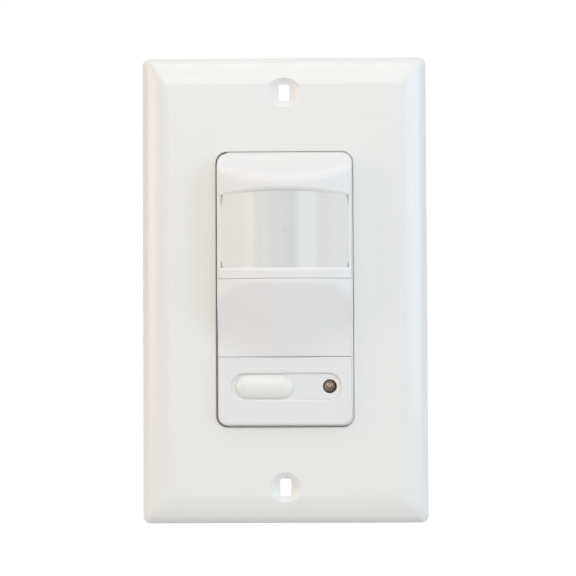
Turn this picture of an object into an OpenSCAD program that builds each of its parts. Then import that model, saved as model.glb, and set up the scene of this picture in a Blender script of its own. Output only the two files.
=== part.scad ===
// Motion sensor light switch in a one-gang wall plate.
// Sub-parts are drawn as seen from the front: x to the right, y up, z out of the wall from the wall plane.
// on_wall() then stands them up, so that +Z is up and the front faces -Y.

/* [Wall plate] */
// Width of the plate
plate_w = 69.85; // [64:0.05:90]
// Height of the plate
plate_h = 114.3; // [112:0.1:140]
// Height of the flat front above the wall
plate_t = 5.6; // [5:0.1:7]
// Thickness of the moulded wall
plate_wall = 2.2; // [1.8:0.1:2.6]
// Straight part of the outer edge
plate_rim = 1.7; // [1.2:0.1:2.4]
// Width of the rounded bevel
plate_bevel = 7.2; // [5:0.1:9]
// Corner radius of the outline
plate_corner_r = 1.7; // [1:0.1:3]
// Width of the opening
opening_w = 33.5; // [32:0.1:42]
// Height of the opening
opening_h = 67.2; // [66:0.1:70]
// Corner radius of the opening
opening_r = 2.8; // [1.5:0.1:4]
// Distance between the two plate screws
plate_screw_pitch = 96.8; // [96:0.1:98]
// Width of a plate screw slot
plate_slot_w = 2.6; // [2.4:0.1:3.4]
// Height of a plate screw slot
plate_slot_h = 4.5; // [4:0.1:5.5]
// Diameter of the countersink at the front
sink_d = 7.8; // [7:0.1:9]
// Depth of the countersink
sink_depth = 1.9; // [1.2:0.1:2.2]

/* [Mounting strap] */
// Thickness of the steel
strap_t = 1.2; // [1:0.1:1.5]
// Width of the rails beside the cover
strap_rail = 5.3; // [4:0.1:6]
// Width of the end tabs
strap_tab_w = 24; // [20:0.5:28]
// Space from the end of the strap to the plate's edge
strap_inset = 4.45; // [4:0.05:5.5]
// Diameter of a box screw hole
box_hole_d = 4.4; // [4:0.1:5]
// Distance between the two box screws
box_screw_pitch = 83.3; // [83:0.1:84]
// Radius of an ear
ear_r = 6; // [5:0.1:7]

/* [Front cover] */
// Gap between the cover and the plate's opening
face_gap = 0.55; // [0.4:0.05:0.8]
// Wall of the cover
cover_wall = 1.7; // [1.4:0.1:1.9]
// How far the lower panel stands out of the plate
face_proud = 1.6; // [1.4:0.1:2.2]
// Height of the bulge above the lower panel, at the middle
bulge_rise = 6.8; // [6:0.1:9]
// Radius of the bulge
bulge_r = 42; // [38:0.5:60]
// Where the brow's slope starts, above the middle
brow_y = 26.6; // [26.1:0.1:27.1]
// How far the cover's top edge stands out of the plate
brow_proud = 1; // [0.6:0.1:1.4]
// Lower edge of the ledge under the lens
ledge_y = 2.3; // [2.05:0.05:2.55]
// Upper edge of the lower panel
seam_y = -16.55; // [-17:0.05:-16.2]
// Depth of the adjuster pocket under the lower panel
pocket_deep = 2.2; // [2:0.1:2.4]
// Thickness of the pocket's floor
pocket_t = 1.6; // [1.2:0.1:1.7]

/* [Trim cover] */
// Wall of the trim cover
trim_wall = 1.4; // [1.2:0.1:1.6]
// Radius of the gentle curve of its slope, from side to side
chin_r = 46; // [42:1:90]
// From the ledge down to where the slope meets the bulge
chin_top = 0.9; // [0.4:0.1:1.6]
// How far the slope's level low corners lie behind the lower panel
corner_drop = 0.4; // [0.2:0.05:0.5]
// Gap under the trim cover, at the seam
seam_gap = 0.45; // [0.3:0.05:0.6]
// Gap over the trim cover, at the ledge
ledge_gap = 0.2; // [0.15:0.05:0.3]
// Radius of a friction post
post_r = 1.1; // [0.9:0.05:1.2]
// Friction posts, from the sides of the cover
post_inset = 3.2; // [2.8:0.1:3.4]
// Upper friction posts
post_top_y = -1.2; // [-2:0.1:-1]
// Lower friction posts
post_low_y = -12.6; // [-13:0.1:-12]

/* [Lens and infrared sensor] */
// Width of the frame beside the lens window
jamb_w = 1.1; // [1:0.1:2]
// Lower edge of the lens window
window_low = 4.95; // [4.7:0.05:5.2]
// Upper edge of the lens window, at the middle
window_top = 23.4; // [22.9:0.1:23.7]
// How far the upper edge drops at the sides
window_arch = 0.45; // [0.2:0.05:0.8]
// Thickness of the frame in front of the lens
lens_lip = 1.2; // [0.9:0.05:1.3]
// Thickness of the lens
lens_t = 0.8; // [0.6:0.05:0.9]
// How far the lens goes behind its frame
lens_lap = 1.2; // [1:0.1:1.3]
// Height of the clipped corners of the lens
lens_clip = 5; // [3:0.1:6]
// Wall of the lens chamber
chamber_wall = 1; // [0.8:0.1:1.3]
// Height of the infrared sensor above the middle
sensor_y = 14.2; // [13:0.1:15.4]
// Radius of the sensor can
sensor_r = 4.1; // [3.8:0.1:4.3]
// Height of the sensor can
sensor_h = 4.2; // [3.5:0.1:5]
// Radius of the motion light
led_r = 1.5; // [1:0.1:1.6]

/* [Button and light hole] */
// Height of the button and the light hole
control_y = -23.6; // [-24:0.1:-23.4]
// Middle of the button
button_x = -5.2; // [-5.6:0.1:-4.8]
// Width of the button
button_w = 14; // [12:0.1:15]
// Height of the button
button_h = 5.3; // [4.5:0.1:5.6]
// How far the button's dome stands out of its recess
button_rise = 1.5; // [1.2:0.1:2]
// Travel of the button
button_travel = 0.5; // [0.3:0.05:0.55]
// Recess beyond the button and the light hole
recess_end = 1.2; // [0.8:0.1:1.6]
// Recess over and under the button
recess_side = 0.5; // [0.4:0.05:0.8]
// Depth of the recess
recess_depth = 0.6; // [0.4:0.1:0.8]
// Middle of the light hole
light_x = 10.86; // [10.4:0.02:11]
// Diameter of the light hole
light_hole_d = 3.35; // [3:0.05:3.6]
// Radius of the light sensor
light_r = 1.45; // [1.2:0.05:1.5]
// Side of the button switch
tact_w = 4.5; // [4:0.1:4.8]
// Height of the button switch's body
tact_h = 2; // [1.8:0.1:2.1]
// Radius of the button switch's plunger
plunger_r = 1.5; // [1.2:0.05:1.6]

/* [Adjusters] */
// Height of the row of adjusters
adjuster_y = -7.5; // [-8:0.1:-7]
// Space between the option switch and the trimmers
dip_gap = 2.2; // [1.8:0.1:2.6]
// Number of option levers
dip_count = 4; // [4:1:4]
// Distance between option levers
dip_pitch = 2.54; // [2.4:0.02:2.54]
// Height of the option switch, seen from the front
dip_h = 6.2; // [5.8:0.1:6.4]
// Depth of the option switch's body
dip_depth = 3.4; // [3:0.1:3.6]
// Travel of an option lever
lever_travel = 1.2; // [0.8:0.1:1.4]
// Side of an option lever
lever_w = 1.2; // [1:0.1:1.4]
// Space between the trimmers, and beside them
trimmer_gap = 0.3; // [0.2:0.05:0.4]
// Side of a trimmer's body
trimmer_w = 5.6; // [5.2:0.1:5.7]
// Depth of a trimmer's body
trimmer_depth = 2.2; // [1.8:0.1:2.3]
// Radius of a rotor
rotor_r = 1.9; // [1.6:0.05:2.1]

/* [Boards and their parts] */
// Thickness of the boards
board_t = 1.6; // [1.2:0.1:1.7]
// Front of the control board above the wall
board_z = 1; // [0.8:0.05:1]
// Space between the control board and the screw bosses
board_end_gap = 1.2; // [1:0.1:1.6]
// Front of the power board, behind the wall plane
power_z = -21.4; // [-22:0.1:-21]
// Width of the power board
power_w = 26; // [25.4:0.1:26.4]
// Height of the power board
power_h = 41; // [39:0.5:42]
// Width of the relay
relay_w = 15.5; // [14:0.1:15.8]
// Height of the relay
relay_h = 19; // [17:0.1:20]
// Depth of the relay
relay_depth = 15; // [10:0.1:17]
// Width of the film capacitor
film_w = 6; // [5:0.1:6.4]
// Height of the film capacitor
film_h = 13; // [11:0.1:14]
// Depth of the film capacitor
film_depth = 11; // [8:0.1:13]
// Radius of the storage capacitor
storage_r = 4; // [3:0.1:4.2]
// Depth of the storage capacitor
storage_depth = 11; // [8:0.1:15]
// Radius of the varistor
varistor_r = 4.2; // [3.5:0.1:4.4]
// Number of header pins
header_pins_n = 6; // [4:1:6]
// Distance between header pins
header_pitch = 2.54; // [2:0.02:2.54]

/* [Rear housing] */
// How much the housing is narrower than the strap's frame
housing_inset = 1.5; // [1.2:0.1:2]
// How much the housing is shorter than the cover
housing_short = 1.1; // [0.6:0.1:1.6]
// Depth of the housing behind the wall plane
housing_depth = 30; // [29:0.5:40]
// Wall of the housing
housing_wall = 1.8; // [1.5:0.1:2.1]
// Thickness of the housing's back
housing_back = 2; // [1.6:0.1:2.4]
// Corner radius of the housing
housing_r = 2; // [1:0.1:3]

/* [Screws and terminals] */
// Housing screws, from the sides of the cover
screw_side = 3.6; // [3.4:0.05:4]
// Housing screws, from the ends of the cover
screw_end = 3.45; // [3.3:0.05:3.6]
// Radius of a housing screw
screw_r = 1.3; // [1.1:0.05:1.4]
// Radius of a housing screw's head
screw_head_r = 2.4; // [2:0.1:2.5]
// Distance of the terminals from the middle, up and down
terminal_y = 9; // [8.6:0.1:9.4]
// Side of a terminal pocket
pocket_w = 10; // [9:0.1:11]
// Depth of a terminal pocket
pocket_depth = 5; // [4.6:0.1:5.2]
// Thickness of a terminal plate
terminal_t = 1; // [0.8:0.1:1.2]
// Radius of a terminal screw's thread
terminal_r = 1.75; // [1.5:0.05:1.9]
// Radius of a terminal screw's head
terminal_head_r = 3.4; // [3:0.1:3.6]
// Space for the wire under a terminal screw's head
wire_gap = 1.6; // [1.2:0.1:1.8]

/* [Hidden] */
$fn = 48;

// Clearances
run_gap = 0.05;
screw_gap = 0.2;
part_gap = 0.25;
cut = 1;

// Front cover and its shapes
face_w = opening_w - 2 * face_gap;
face_h = opening_h - 2 * face_gap;
face_r = opening_r - face_gap;
face_z = plate_t + face_proud;
brow_z = plate_t + brow_proud;
bulge_z = face_z + bulge_rise;
pocket_z = face_z - pocket_deep;
cover_in_w = face_w - 2 * cover_wall;
brow_slope = (bulge_z - brow_z) / (face_h / 2 - brow_y);
brow_in = cover_wall * sqrt(1 + brow_slope * brow_slope);
chin_slope = (bulge_z - face_z) / (ledge_y - chin_top - seam_y);
chin_angle = atan(chin_slope);
screw_x = face_w / 2 - screw_side;
screw_y = face_h / 2 - screw_end;
post_x = face_w / 2 - post_inset;
boss_r = screw_r + 1.1;
bore_depth = 4.3;
well_z = face_z - cover_wall - 0.8;
well_wall = 1.2;

// Plate
plate_inner_rim = 0.5;
plate_inner_bevel = plate_bevel - 1;
crown_steps = 8;
rib_w = 1.6;
rib_lift = 0.4;
pad_w = 14;
pad_h = 9;

// Strap
strap_w = face_w + 2 * strap_rail;
strap_frame_h = face_h + 5;
strap_len = plate_h - 2 * strap_inset;
strap_window_w = cover_in_w;
board_h = 2 * (screw_y - boss_r - board_end_gap);
strap_window_h = board_h + 0.8;
strap_slot_grow = 0.6;
strap_corner_r = 2.5;
tab_corner_r = 3;
ground_leg_lap = 2;
ear_x = strap_tab_w / 2 + 1;
ear_y = strap_len / 2 - ear_r;
ear_hole_r = 1.3;

// Lens and its chamber
window_w = face_w - 2 * jamb_w;
bulge_axis_z = bulge_z - bulge_r;
lens_r = bulge_r - lens_lip - run_gap;
lens_w = window_w + 0.6;
lens_low = window_low - lens_lap;
lens_high = window_top + lens_lap;
lens_clip_w = 1.3;
arch_r = window_w * window_w / (8 * window_arch);
chamber_w = cover_in_w - 1.2;
chamber_low = ledge_y + cover_wall + part_gap;
chamber_high = lens_high - 0.4;
flange_h = 0.7;
flange_r = sensor_r + 0.5;
filter_w = 3.2;
filter_h = 3.9;
filter_t = 0.4;
collar_h = 1.6;
collar_r = flange_r + 1.6;
sensor_pin_r = 0.23;
sensor_pin_circle_r = 2.5;
led_x = 9.2;
led_y = window_low + 3.1;
led_h = 3.2;

// Button, its switch and the light sensor
recess_z = face_z - recess_depth;
recess_left = button_x - button_w / 2 - recess_end;
recess_right = light_x + light_hole_d / 2 + recess_end;
recess_h = button_h + 2 * recess_side;
tact_floor = 0.4;
lip_grow = 0.75;
lip_z = well_z - 0.15;
lip_t = 0.8;
plunger_top = lip_z - lip_t - 0.2;
nub_r = 1.3;
sleeve_r = light_r + 0.95;
sleeve_h = face_z - cover_wall - 0.1 - board_z;
light_h = recess_z - 0.7 - board_z;

// Adjusters, in a row from the right edge of the control board
board_w = cover_in_w - 2;
dip_w = dip_count * dip_pitch;
light_level_x = board_w / 2 - trimmer_gap - trimmer_w / 2;
time_x = light_level_x - trimmer_w - trimmer_gap;
dip_x = time_x - trimmer_w / 2 - dip_gap - dip_w / 2;
lever_top = board_z + dip_depth + 0.8;
lever_foot = board_z + dip_depth - 1.4;
rotor_foot = board_z + 1;
rotor_top = pocket_z - 0.2;
rotor_slot_w = 0.7;
rotor_slot_depth = 0.8;

// Boards
board_back = board_z - board_t;
power_back = power_z - board_t;
header_y = 17.2;
header_pin_r = 0.32;
header_base = 2.5;
chip_w = 5;
chip_h = 8.6;
chip_t = 1.5;
chip_legs = 7;
chip_y = -2;
relay_x = -3.2;
part_row_y = 4;
film_x = 9.2;
storage_x = -7.5;
low_row_y = -12.5;
varistor_x = 3;
varistor_t = 3.6;
fuse_x = 9.6;
fuse_r = 1.4;
fuse_len = 7;
lead_r = 0.35;

// Rear housing
housing_w = strap_w - 2 * housing_inset;
housing_h = face_h - housing_short;
housing_floor_z = housing_back - housing_depth;
column_r = screw_r + 1.7;
head_seat_z = 2.4 - housing_depth;
head_h = 1.6;
cross_w = 0.6;
cross_len = 2.6;
board_post_x = board_w / 2 - 2;
board_post_y = board_h / 2 - 2.3;
board_post_r = 1.6;
standoff_x = power_w / 2 - 2.5;
standoff_y = power_h / 2 - 2.7;
standoff_r = 1.8;
sheet_t = 0.4;

// Terminals: the side, +1 right or -1 left, and the height of each
terminals = [[1, terminal_y], [1, -terminal_y], [-1, terminal_y]];
terminal_z = power_z + 0.4;
pocket_wall_x = housing_w / 2 - pocket_depth;
pocket_wall = 1.5;
tab_from = 2.4;
tab_w = 1.8;
terminal_plate_w = 8;
terminal_head_t = 2;
terminal_slot_w = 1.2;
ground_y = -26.5;
ground_z = -4.5;
ground_leg_w = 9;
ground_leg_len = 8.5;
ground_leg_x = -(housing_w / 2 + 0.8);

// Stands the front view up against the wall
module on_wall() {
    rotate([90, 0, 0]) children();
}

module slab(z0, z1) {
    translate([0, 0, z0]) linear_extrude(z1 - z0) children();
}

// Extrudes a side view, drawn as height and depth, to the given width
module across(width) {
    rotate([90, 0, 90]) linear_extrude(width, center = true) children();
}

// Extrudes a section, drawn as width and depth, to the given height
module along(height) {
    rotate([90, 0, 0]) linear_extrude(height, center = true) children();
}

module rounded(w, h, r) {
    offset(r) square([w - 2 * r, h - 2 * r], center = true);
}

module pill(w, h) {
    hull() {
        for (side = [-1, 1]) translate([side * (w - h) / 2, 0]) circle(h / 2, $fn = 32);
    }
}

module peg(x, y, z0, z1, r) {
    translate([x, y, z0]) cylinder(h = z1 - z0, r = r);
}

// A cylinder lying across, from x0 to x1
module side_peg(x0, x1, y, z, r) {
    translate([x0, y, z]) rotate([0, 90, 0]) cylinder(h = x1 - x0, r = r);
}

// A block between two corners
module block(low, high) {
    translate(low) cube(high - low);
}

// The upright cylinder that the lens bulge is part of
module bulge(r) {
    translate([0, face_h, bulge_axis_z]) rotate([90, 0, 0]) cylinder(h = 2 * face_h, r = r);
}

module corners(x, y) {
    for (sx = [-1, 1], sy = [-1, 1]) translate([sx * x, sy * y, 0]) children();
}

// Section of the plate: a straight rim and a quarter ellipse up to the flat front
function crown_half(w, t, rim, bevel) = [
    for (i = [0 : crown_steps])
        let (a = 90 * i / crown_steps) [bevel * (1 - cos(a)) - w / 2, rim + (t - rim) * sin(a)]
];

function mirrored(points) = [for (i = [len(points) - 1 : -1 : 0]) [-points[i].x, points[i].y]];

function crown(w, t, rim, bevel, foot) = let (half = crown_half(w, t, rim, bevel))
    concat([[-w / 2, foot]], half, mirrored(half), [[w / 2, foot]]);

module crowned_block(w, h, t, rim, bevel, foot) {
    intersection() {
        along(h) polygon(crown(w, t, rim, bevel, foot));
        across(w) polygon(crown(h, t, rim, bevel, foot));
        slab(foot, t + cut) rounded(w, h, plate_corner_r);
    }
}

module wall_plate() {
    ceiling = plate_t - plate_wall;
    color("white") on_wall() difference() {
        union() {
            difference() {
                crowned_block(plate_w, plate_h, plate_t, plate_rim, plate_bevel, 0);
                crowned_block(plate_w - 2 * plate_wall, plate_h - 2 * plate_wall, ceiling,
                    plate_inner_rim, plate_inner_bevel, -cut);
            }
            slab(strap_t + rib_lift, plate_t - plate_wall / 2)
                rounded(opening_w + 2 * rib_w, opening_h + 2 * rib_w, opening_r + rib_w);
            for (side = [-1, 1]) translate([0, side * plate_screw_pitch / 2, 0])
                slab(strap_t, plate_t - plate_wall / 2) square([pad_w, pad_h], center = true);
        }
        slab(-cut, plate_t + cut) rounded(opening_w, opening_h, opening_r);
        for (side = [-1, 1]) translate([0, side * plate_screw_pitch / 2, 0]) {
            slab(-cut, plate_t + cut) square([plate_slot_w, plate_slot_h], center = true);
            translate([0, 0, plate_t - sink_depth])
                cylinder(h = sink_depth + run_gap, r1 = plate_slot_h / 2 - screw_gap, r2 = sink_d / 2);
        }
    }
}

module mounting_strap() {
    leg_y0 = ground_y - ground_leg_w / 2;
    leg_y1 = ground_y + ground_leg_w / 2;
    color("silver") on_wall() difference() {
        union() {
            slab(0, strap_t) {
                rounded(strap_w, strap_frame_h, strap_corner_r);
                rounded(strap_tab_w, strap_len, tab_corner_r);
                corners(ear_x, ear_y) circle(ear_r);
            }
            block([ground_leg_x - strap_t, leg_y0, 0],
                [-strap_window_w / 2 - ground_leg_lap, leg_y1, strap_t]);
            block([ground_leg_x - strap_t, leg_y0, -ground_leg_len], [ground_leg_x, leg_y1, strap_t]);
        }
        slab(-cut, strap_t + cut) square([strap_window_w, strap_window_h], center = true);
        corners(screw_x, screw_y) cylinder(h = 4 * cut, r = screw_r + screw_gap, center = true);
        corners(ear_x + ear_r / 3, ear_y) cylinder(h = 4 * cut, r = ear_hole_r, center = true);
        for (side = [-1, 1]) {
            translate([0, side * box_screw_pitch / 2, 0])
                cylinder(h = 4 * cut, d = box_hole_d, center = true);
            translate([0, side * plate_screw_pitch / 2, -cut]) slab(0, strap_t + 2 * cut)
                square([plate_slot_w + strap_slot_grow, plate_slot_h + strap_slot_grow], center = true);
        }
        side_peg(ground_leg_x - strap_t - cut, ground_leg_x + cut, ground_y, ground_z,
            terminal_r + run_gap);
    }
}

// Side view of the bulge above the ledge, up to the sloped brow, drawn in by the given wall
module brow_side(wall, drop) {
    top_y = face_h / 2 - wall;
    reach = bulge_z + cut;
    polygon([
        [ledge_y + wall, -cut],
        [ledge_y + wall, reach],
        [brow_y - (cut + drop) / brow_slope, reach],
        [top_y + cut, brow_z + brow_slope * (wall - cut) - drop],
        [top_y + cut, -cut]
    ]);
}

// Solid outer shape of the front cover above the ledge
module brow_solid() {
    intersection() {
        slab(strap_t, bulge_z + cut) rounded(face_w, face_h, face_r);
        across(face_w + cut) brow_side(0, 0);
        bulge(bulge_r);
    }
}

module front_cover() {
    panel_h = face_h / 2 + seam_y;
    panel_y = (seam_y - face_h / 2) / 2;
    color("whitesmoke") on_wall() difference() {
        union() {
            difference() {
                brow_solid();
                intersection() {
                    across(cover_in_w) brow_side(cover_wall, brow_in);
                    bulge(bulge_r - cover_wall);
                    slab(-cut, bulge_z) square([face_w, face_h - 2 * cover_wall], center = true);
                }
            }
            // Lower panel and the pocket's floor, as one tray
            difference() {
                intersection() {
                    slab(strap_t, face_z) rounded(face_w, face_h, face_r);
                    union() {
                        block([-face_w, -face_h, 0], [face_w, seam_y, face_z + cut]);
                        block([-face_w, -face_h, 0], [face_w, ledge_y + cover_wall / 2, pocket_z]);
                    }
                }
                translate([0, panel_y, 0]) slab(-cut, face_z - cover_wall)
                    square([cover_in_w, panel_h - 2 * cover_wall], center = true);
                block([-cover_in_w / 2, seam_y - cut, -cut],
                    [cover_in_w / 2, ledge_y, pocket_z - pocket_t]);
            }
            intersection() {
                corners(screw_x, screw_y) slab(strap_t, face_z - cut / 2) circle(boss_r);
                slab(strap_t, face_z) rounded(face_w, face_h, face_r);
            }
            translate([button_x, control_y, 0]) slab(well_z, face_z - cover_wall + run_gap)
                pill(button_w + 2 * well_wall, button_h + 2 * well_wall);
        }
        // Lens window, with its arched upper edge, and the groove that the lens sits in
        slab(pocket_z, bulge_z + cut) intersection() {
            translate([-window_w / 2, window_low]) square([window_w, window_top - window_low]);
            translate([0, window_top - arch_r]) circle(arch_r, $fn = 96);
        }
        intersection() {
            block([-lens_w / 2 - run_gap, lens_low - run_gap, 0],
                [lens_w / 2 + run_gap, lens_high + run_gap, bulge_z]);
            difference() {
                bulge(lens_r + run_gap);
                bulge(lens_r - lens_t - part_gap);
            }
        }
        // Lower panel: recess, button and light hole
        translate([0, control_y, 0]) {
            translate([(recess_left + recess_right) / 2, 0, 0]) slab(recess_z, face_z + cut)
                pill(recess_right - recess_left, recess_h);
            translate([button_x, 0, 0]) slab(0, face_z + cut)
                pill(button_w + 2 * part_gap, button_h + 2 * part_gap);
            peg(light_x, 0, 0, face_z + cut, light_hole_d / 2);
        }
        // Pocket's floor: friction posts, option switch and rotors
        for (sx = [-1, 1], y = [post_top_y, post_low_y])
            peg(sx * post_x, y, 0, pocket_z + cut, post_r + run_gap);
        translate([dip_x, adjuster_y, 0]) slab(0, pocket_z + cut)
            square([dip_w + 2 * part_gap, dip_h + 2 * part_gap], center = true);
        for (x = [time_x, light_level_x]) peg(x, adjuster_y, 0, pocket_z + cut, rotor_r + part_gap);
        corners(screw_x, screw_y) peg(0, 0, 0, strap_t + bore_depth, screw_r + run_gap);
    }
}

// What lies under the bulge and under the slope, drawn in by the given wall
module under_trim(wall) {
    intersection() {
        union() {
            // Tilted cylinder of the slope, and its level low corners
            translate([0, seam_y, face_z]) rotate([chin_angle, 0, 0]) translate([0, 0, -chin_r])
                rotate([90, 0, 0]) cylinder(h = 2 * face_h, r = chin_r - wall, center = true);
            block([-face_w, -face_h, 0], [face_w, face_h, face_z - corner_drop - wall]);
        }
        bulge(bulge_r - wall);
    }
}

module trim_cover() {
    low_y = seam_y + seam_gap;
    in_x = face_w / 2 - trim_wall;
    color("whitesmoke") on_wall() union() {
        difference() {
            intersection() {
                block([-face_w / 2, low_y, pocket_z + ledge_gap],
                    [face_w / 2, ledge_y - ledge_gap, bulge_z]);
                under_trim(0);
            }
            intersection() {
                block([-in_x, low_y + trim_wall, 0], [in_x, ledge_y + cut, bulge_z]);
                under_trim(trim_wall);
            }
        }
        intersection() {
            for (sx = [-1, 1], y = [post_top_y, post_low_y])
                peg(sx * post_x, y, pocket_z - pocket_t + ledge_gap, bulge_z, post_r);
            under_trim(trim_wall / 2);
        }
    }
}

module push_button() {
    dome_r = (button_h * button_h / 4 + button_rise * button_rise) / (2 * button_rise);
    straight = button_w - button_h;
    cap_z = recess_z;
    color("ivory") on_wall() translate([button_x, control_y, 0]) union() {
        slab(lip_z - lip_t, cap_z) pill(button_w, button_h);
        slab(lip_z - lip_t, lip_z) pill(button_w + 2 * lip_grow, button_h + 2 * lip_grow);
        intersection() {
            hull() {
                for (side = [-1, 1]) translate([side * straight / 2, 0, cap_z + button_rise - dome_r])
                    sphere(dome_r, $fn = 32);
            }
            slab(cap_z - run_gap, cap_z + 2 * button_rise) pill(button_w, button_h);
        }
        peg(0, 0, plunger_top + run_gap, lip_z, nub_r);
    }
}

// A triangle at a corner, reaching w and h from it
module clip(x, y, w, h) {
    translate([x, y]) polygon([[-w, -h], [w, 0], [0, h]]);
}

module fresnel_lens() {
    color("gainsboro") on_wall() intersection() {
        slab(0, bulge_z) difference() {
            translate([-lens_w / 2, lens_low]) square([lens_w, lens_high - lens_low]);
            for (sx = [-1, 1]) {
                clip(sx * lens_w / 2, lens_low, -sx * lens_clip_w, lens_clip);
                clip(sx * lens_w / 2, lens_high, -sx * lens_clip_w, -lens_clip);
            }
        }
        difference() {
            bulge(lens_r);
            bulge(lens_r - lens_t);
        }
    }
}

module lens_chamber() {
    color("dimgray") on_wall() intersection() {
        difference() {
            block([-chamber_w / 2, chamber_low, board_z], [chamber_w / 2, chamber_high, bulge_z]);
            block([-chamber_w / 2 + chamber_wall, chamber_low + chamber_wall, 0],
                [chamber_w / 2 - chamber_wall, chamber_high - chamber_wall, bulge_z + cut]);
        }
        bulge(lens_r - lens_t - 2 * run_gap);
    }
}

module pir_sensor() {
    can_top = board_z + sensor_h;
    color("silver") on_wall() translate([0, sensor_y, 0]) difference() {
        union() {
            peg(0, 0, board_z, board_z + flange_h, flange_r);
            peg(0, 0, board_z, can_top, sensor_r);
            for (i = [0 : 2]) rotate(-90 * i)
                peg(sensor_pin_circle_r, 0, board_back - cut, board_z + run_gap, sensor_pin_r);
        }
        slab(can_top - filter_t, can_top + cut)
            square([filter_w + 2 * run_gap, filter_h + 2 * run_gap], center = true);
    }
}

module pir_window() {
    can_top = board_z + sensor_h;
    color("black") on_wall() translate([0, sensor_y, 0])
        slab(can_top - filter_t, can_top) square([filter_w, filter_h], center = true);
}

module pir_collar() {
    color("white") on_wall() translate([0, sensor_y, 0]) slab(board_z, board_z + collar_h) difference() {
        circle(collar_r);
        circle(flange_r + run_gap);
    }
}

module motion_led() {
    color("red") on_wall() translate([led_x, led_y, board_z]) union() {
        cylinder(h = led_h - led_r, r = led_r);
        cylinder(h = led_h / 4, r = led_r + part_gap);
        translate([0, 0, led_h - led_r]) intersection() {
            sphere(led_r);
            cylinder(h = led_r + cut, r = led_r + cut);
        }
    }
}

module header_holes(r) {
    for (i = [0 : header_pins_n - 1])
        translate([(i - (header_pins_n - 1) / 2) * header_pitch, header_y, 0]) circle(r);
}

module control_board() {
    color("darkgreen") on_wall() slab(board_back, board_z) difference() {
        square([board_w, board_h], center = true);
        header_holes(header_pin_r + 2 * run_gap);
        for (i = [0 : 2]) translate([0, sensor_y]) rotate(-90 * i) translate([sensor_pin_circle_r, 0])
            circle(sensor_pin_r + 2 * run_gap);
    }
}

module light_sensor() {
    color("saddlebrown") on_wall() translate([light_x, control_y, board_z]) union() {
        cylinder(h = light_h - light_r / 2, r = light_r);
        translate([0, 0, light_h - light_r]) intersection() {
            sphere(light_r * 1.02);
            cylinder(h = light_r, r = light_r);
        }
    }
}

module light_sensor_sleeve() {
    color("black") on_wall() translate([light_x, control_y, 0])
        slab(board_z, board_z + sleeve_h) difference() {
            circle(sleeve_r);
            circle(light_r + run_gap);
        }
}

module tact_switch_body() {
    color("dimgray") on_wall() translate([button_x, control_y, 0]) difference() {
        slab(board_z, board_z + tact_h) square(tact_w, center = true);
        peg(0, 0, board_z + tact_floor, board_z + tact_h + cut, plunger_r + run_gap);
    }
}

module tact_plunger() {
    foot = board_z + tact_floor + button_travel + 3 * run_gap;
    color("black") on_wall() translate([button_x, control_y, 0]) peg(0, 0, foot, plunger_top, plunger_r);
}

function lever_x(i) = dip_x + (i - (dip_count + 1) / 2) * dip_pitch;

module dip_switch_body() {
    color("firebrick") on_wall() difference() {
        translate([dip_x, adjuster_y, 0])
            slab(board_z, board_z + dip_depth) square([dip_w, dip_h], center = true);
        for (i = [1 : dip_count]) translate([lever_x(i), adjuster_y, 0])
            slab(lever_foot - run_gap, board_z + dip_depth + cut)
                square([lever_w + 2 * run_gap, lever_w + lever_travel + 2 * run_gap], center = true);
    }
}

// At rest each lever is at the low end of its slot
module dip_lever(i) {
    color("white") on_wall() translate([lever_x(i), adjuster_y - lever_travel / 2, 0])
        slab(lever_foot, lever_top) square(lever_w, center = true);
}

module trimmer_bodies() {
    color("steelblue") on_wall() for (x = [time_x, light_level_x])
        translate([x, adjuster_y, 0]) difference() {
            slab(board_z, board_z + trimmer_depth) square(trimmer_w, center = true);
            peg(0, 0, rotor_foot - run_gap, board_z + trimmer_depth + cut, rotor_r + run_gap);
        }
}

// At rest the rotor's slot stands upright, in the middle of its turn
module rotor(x) {
    color("white") on_wall() translate([x, adjuster_y, 0]) difference() {
        peg(0, 0, rotor_foot, rotor_top, rotor_r);
        slab(rotor_top - rotor_slot_depth, rotor_top + cut)
            square([rotor_slot_w, 1.5 * rotor_r], center = true);
    }
}

module control_chip() {
    leg = 0.4;
    color("black") on_wall() translate([0, chip_y, 0]) union() {
        slab(board_back - chip_t, board_back - 0.1) square([chip_w, chip_h], center = true);
        for (i = [1 : chip_legs]) translate([0, (i - (chip_legs + 1) / 2) * chip_h / (chip_legs + 1), 0])
            slab(board_back - leg, board_back) square([chip_w + 2, leg], center = true);
    }
}

module board_header() {
    color("black") on_wall() slab(board_back - header_base, board_back) difference() {
        translate([0, header_y]) square([header_pins_n * header_pitch, header_base], center = true);
        header_holes(header_pin_r + run_gap);
    }
}

module header_pins() {
    color("gold") on_wall() slab(power_back - cut, board_z - 2 * run_gap) header_holes(header_pin_r);
}

module power_board() {
    color("darkgreen") on_wall() slab(power_back, power_z) difference() {
        square([power_w, power_h], center = true);
        header_holes(header_pin_r + 2 * run_gap);
    }
}

module relay() {
    step = 0.3;
    color("royalblue") on_wall() translate([relay_x, part_row_y, 0]) union() {
        slab(power_z, power_z + relay_depth)
            square([relay_w - 2 * step, relay_h - 2 * step], center = true);
        slab(power_z, power_z + relay_depth / 5) square([relay_w, relay_h], center = true);
    }
}

module film_capacitor() {
    color("goldenrod") on_wall() translate([film_x, part_row_y, 0])
        slab(power_z, power_z + film_depth) rounded(film_w, film_h, 0.5);
}

module storage_capacitor() {
    bead = 0.4;
    groove = 1;
    color("midnightblue") on_wall() translate([storage_x, low_row_y, power_z]) rotate_extrude() polygon([
        [0, 0], [storage_r, 0], [storage_r, groove], [storage_r - bead, groove + bead],
        [storage_r - bead, groove + 2 * bead], [storage_r, groove + 3 * bead],
        [storage_r, storage_depth - bead], [storage_r - bead, storage_depth], [0, storage_depth]
    ]);
}

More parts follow.
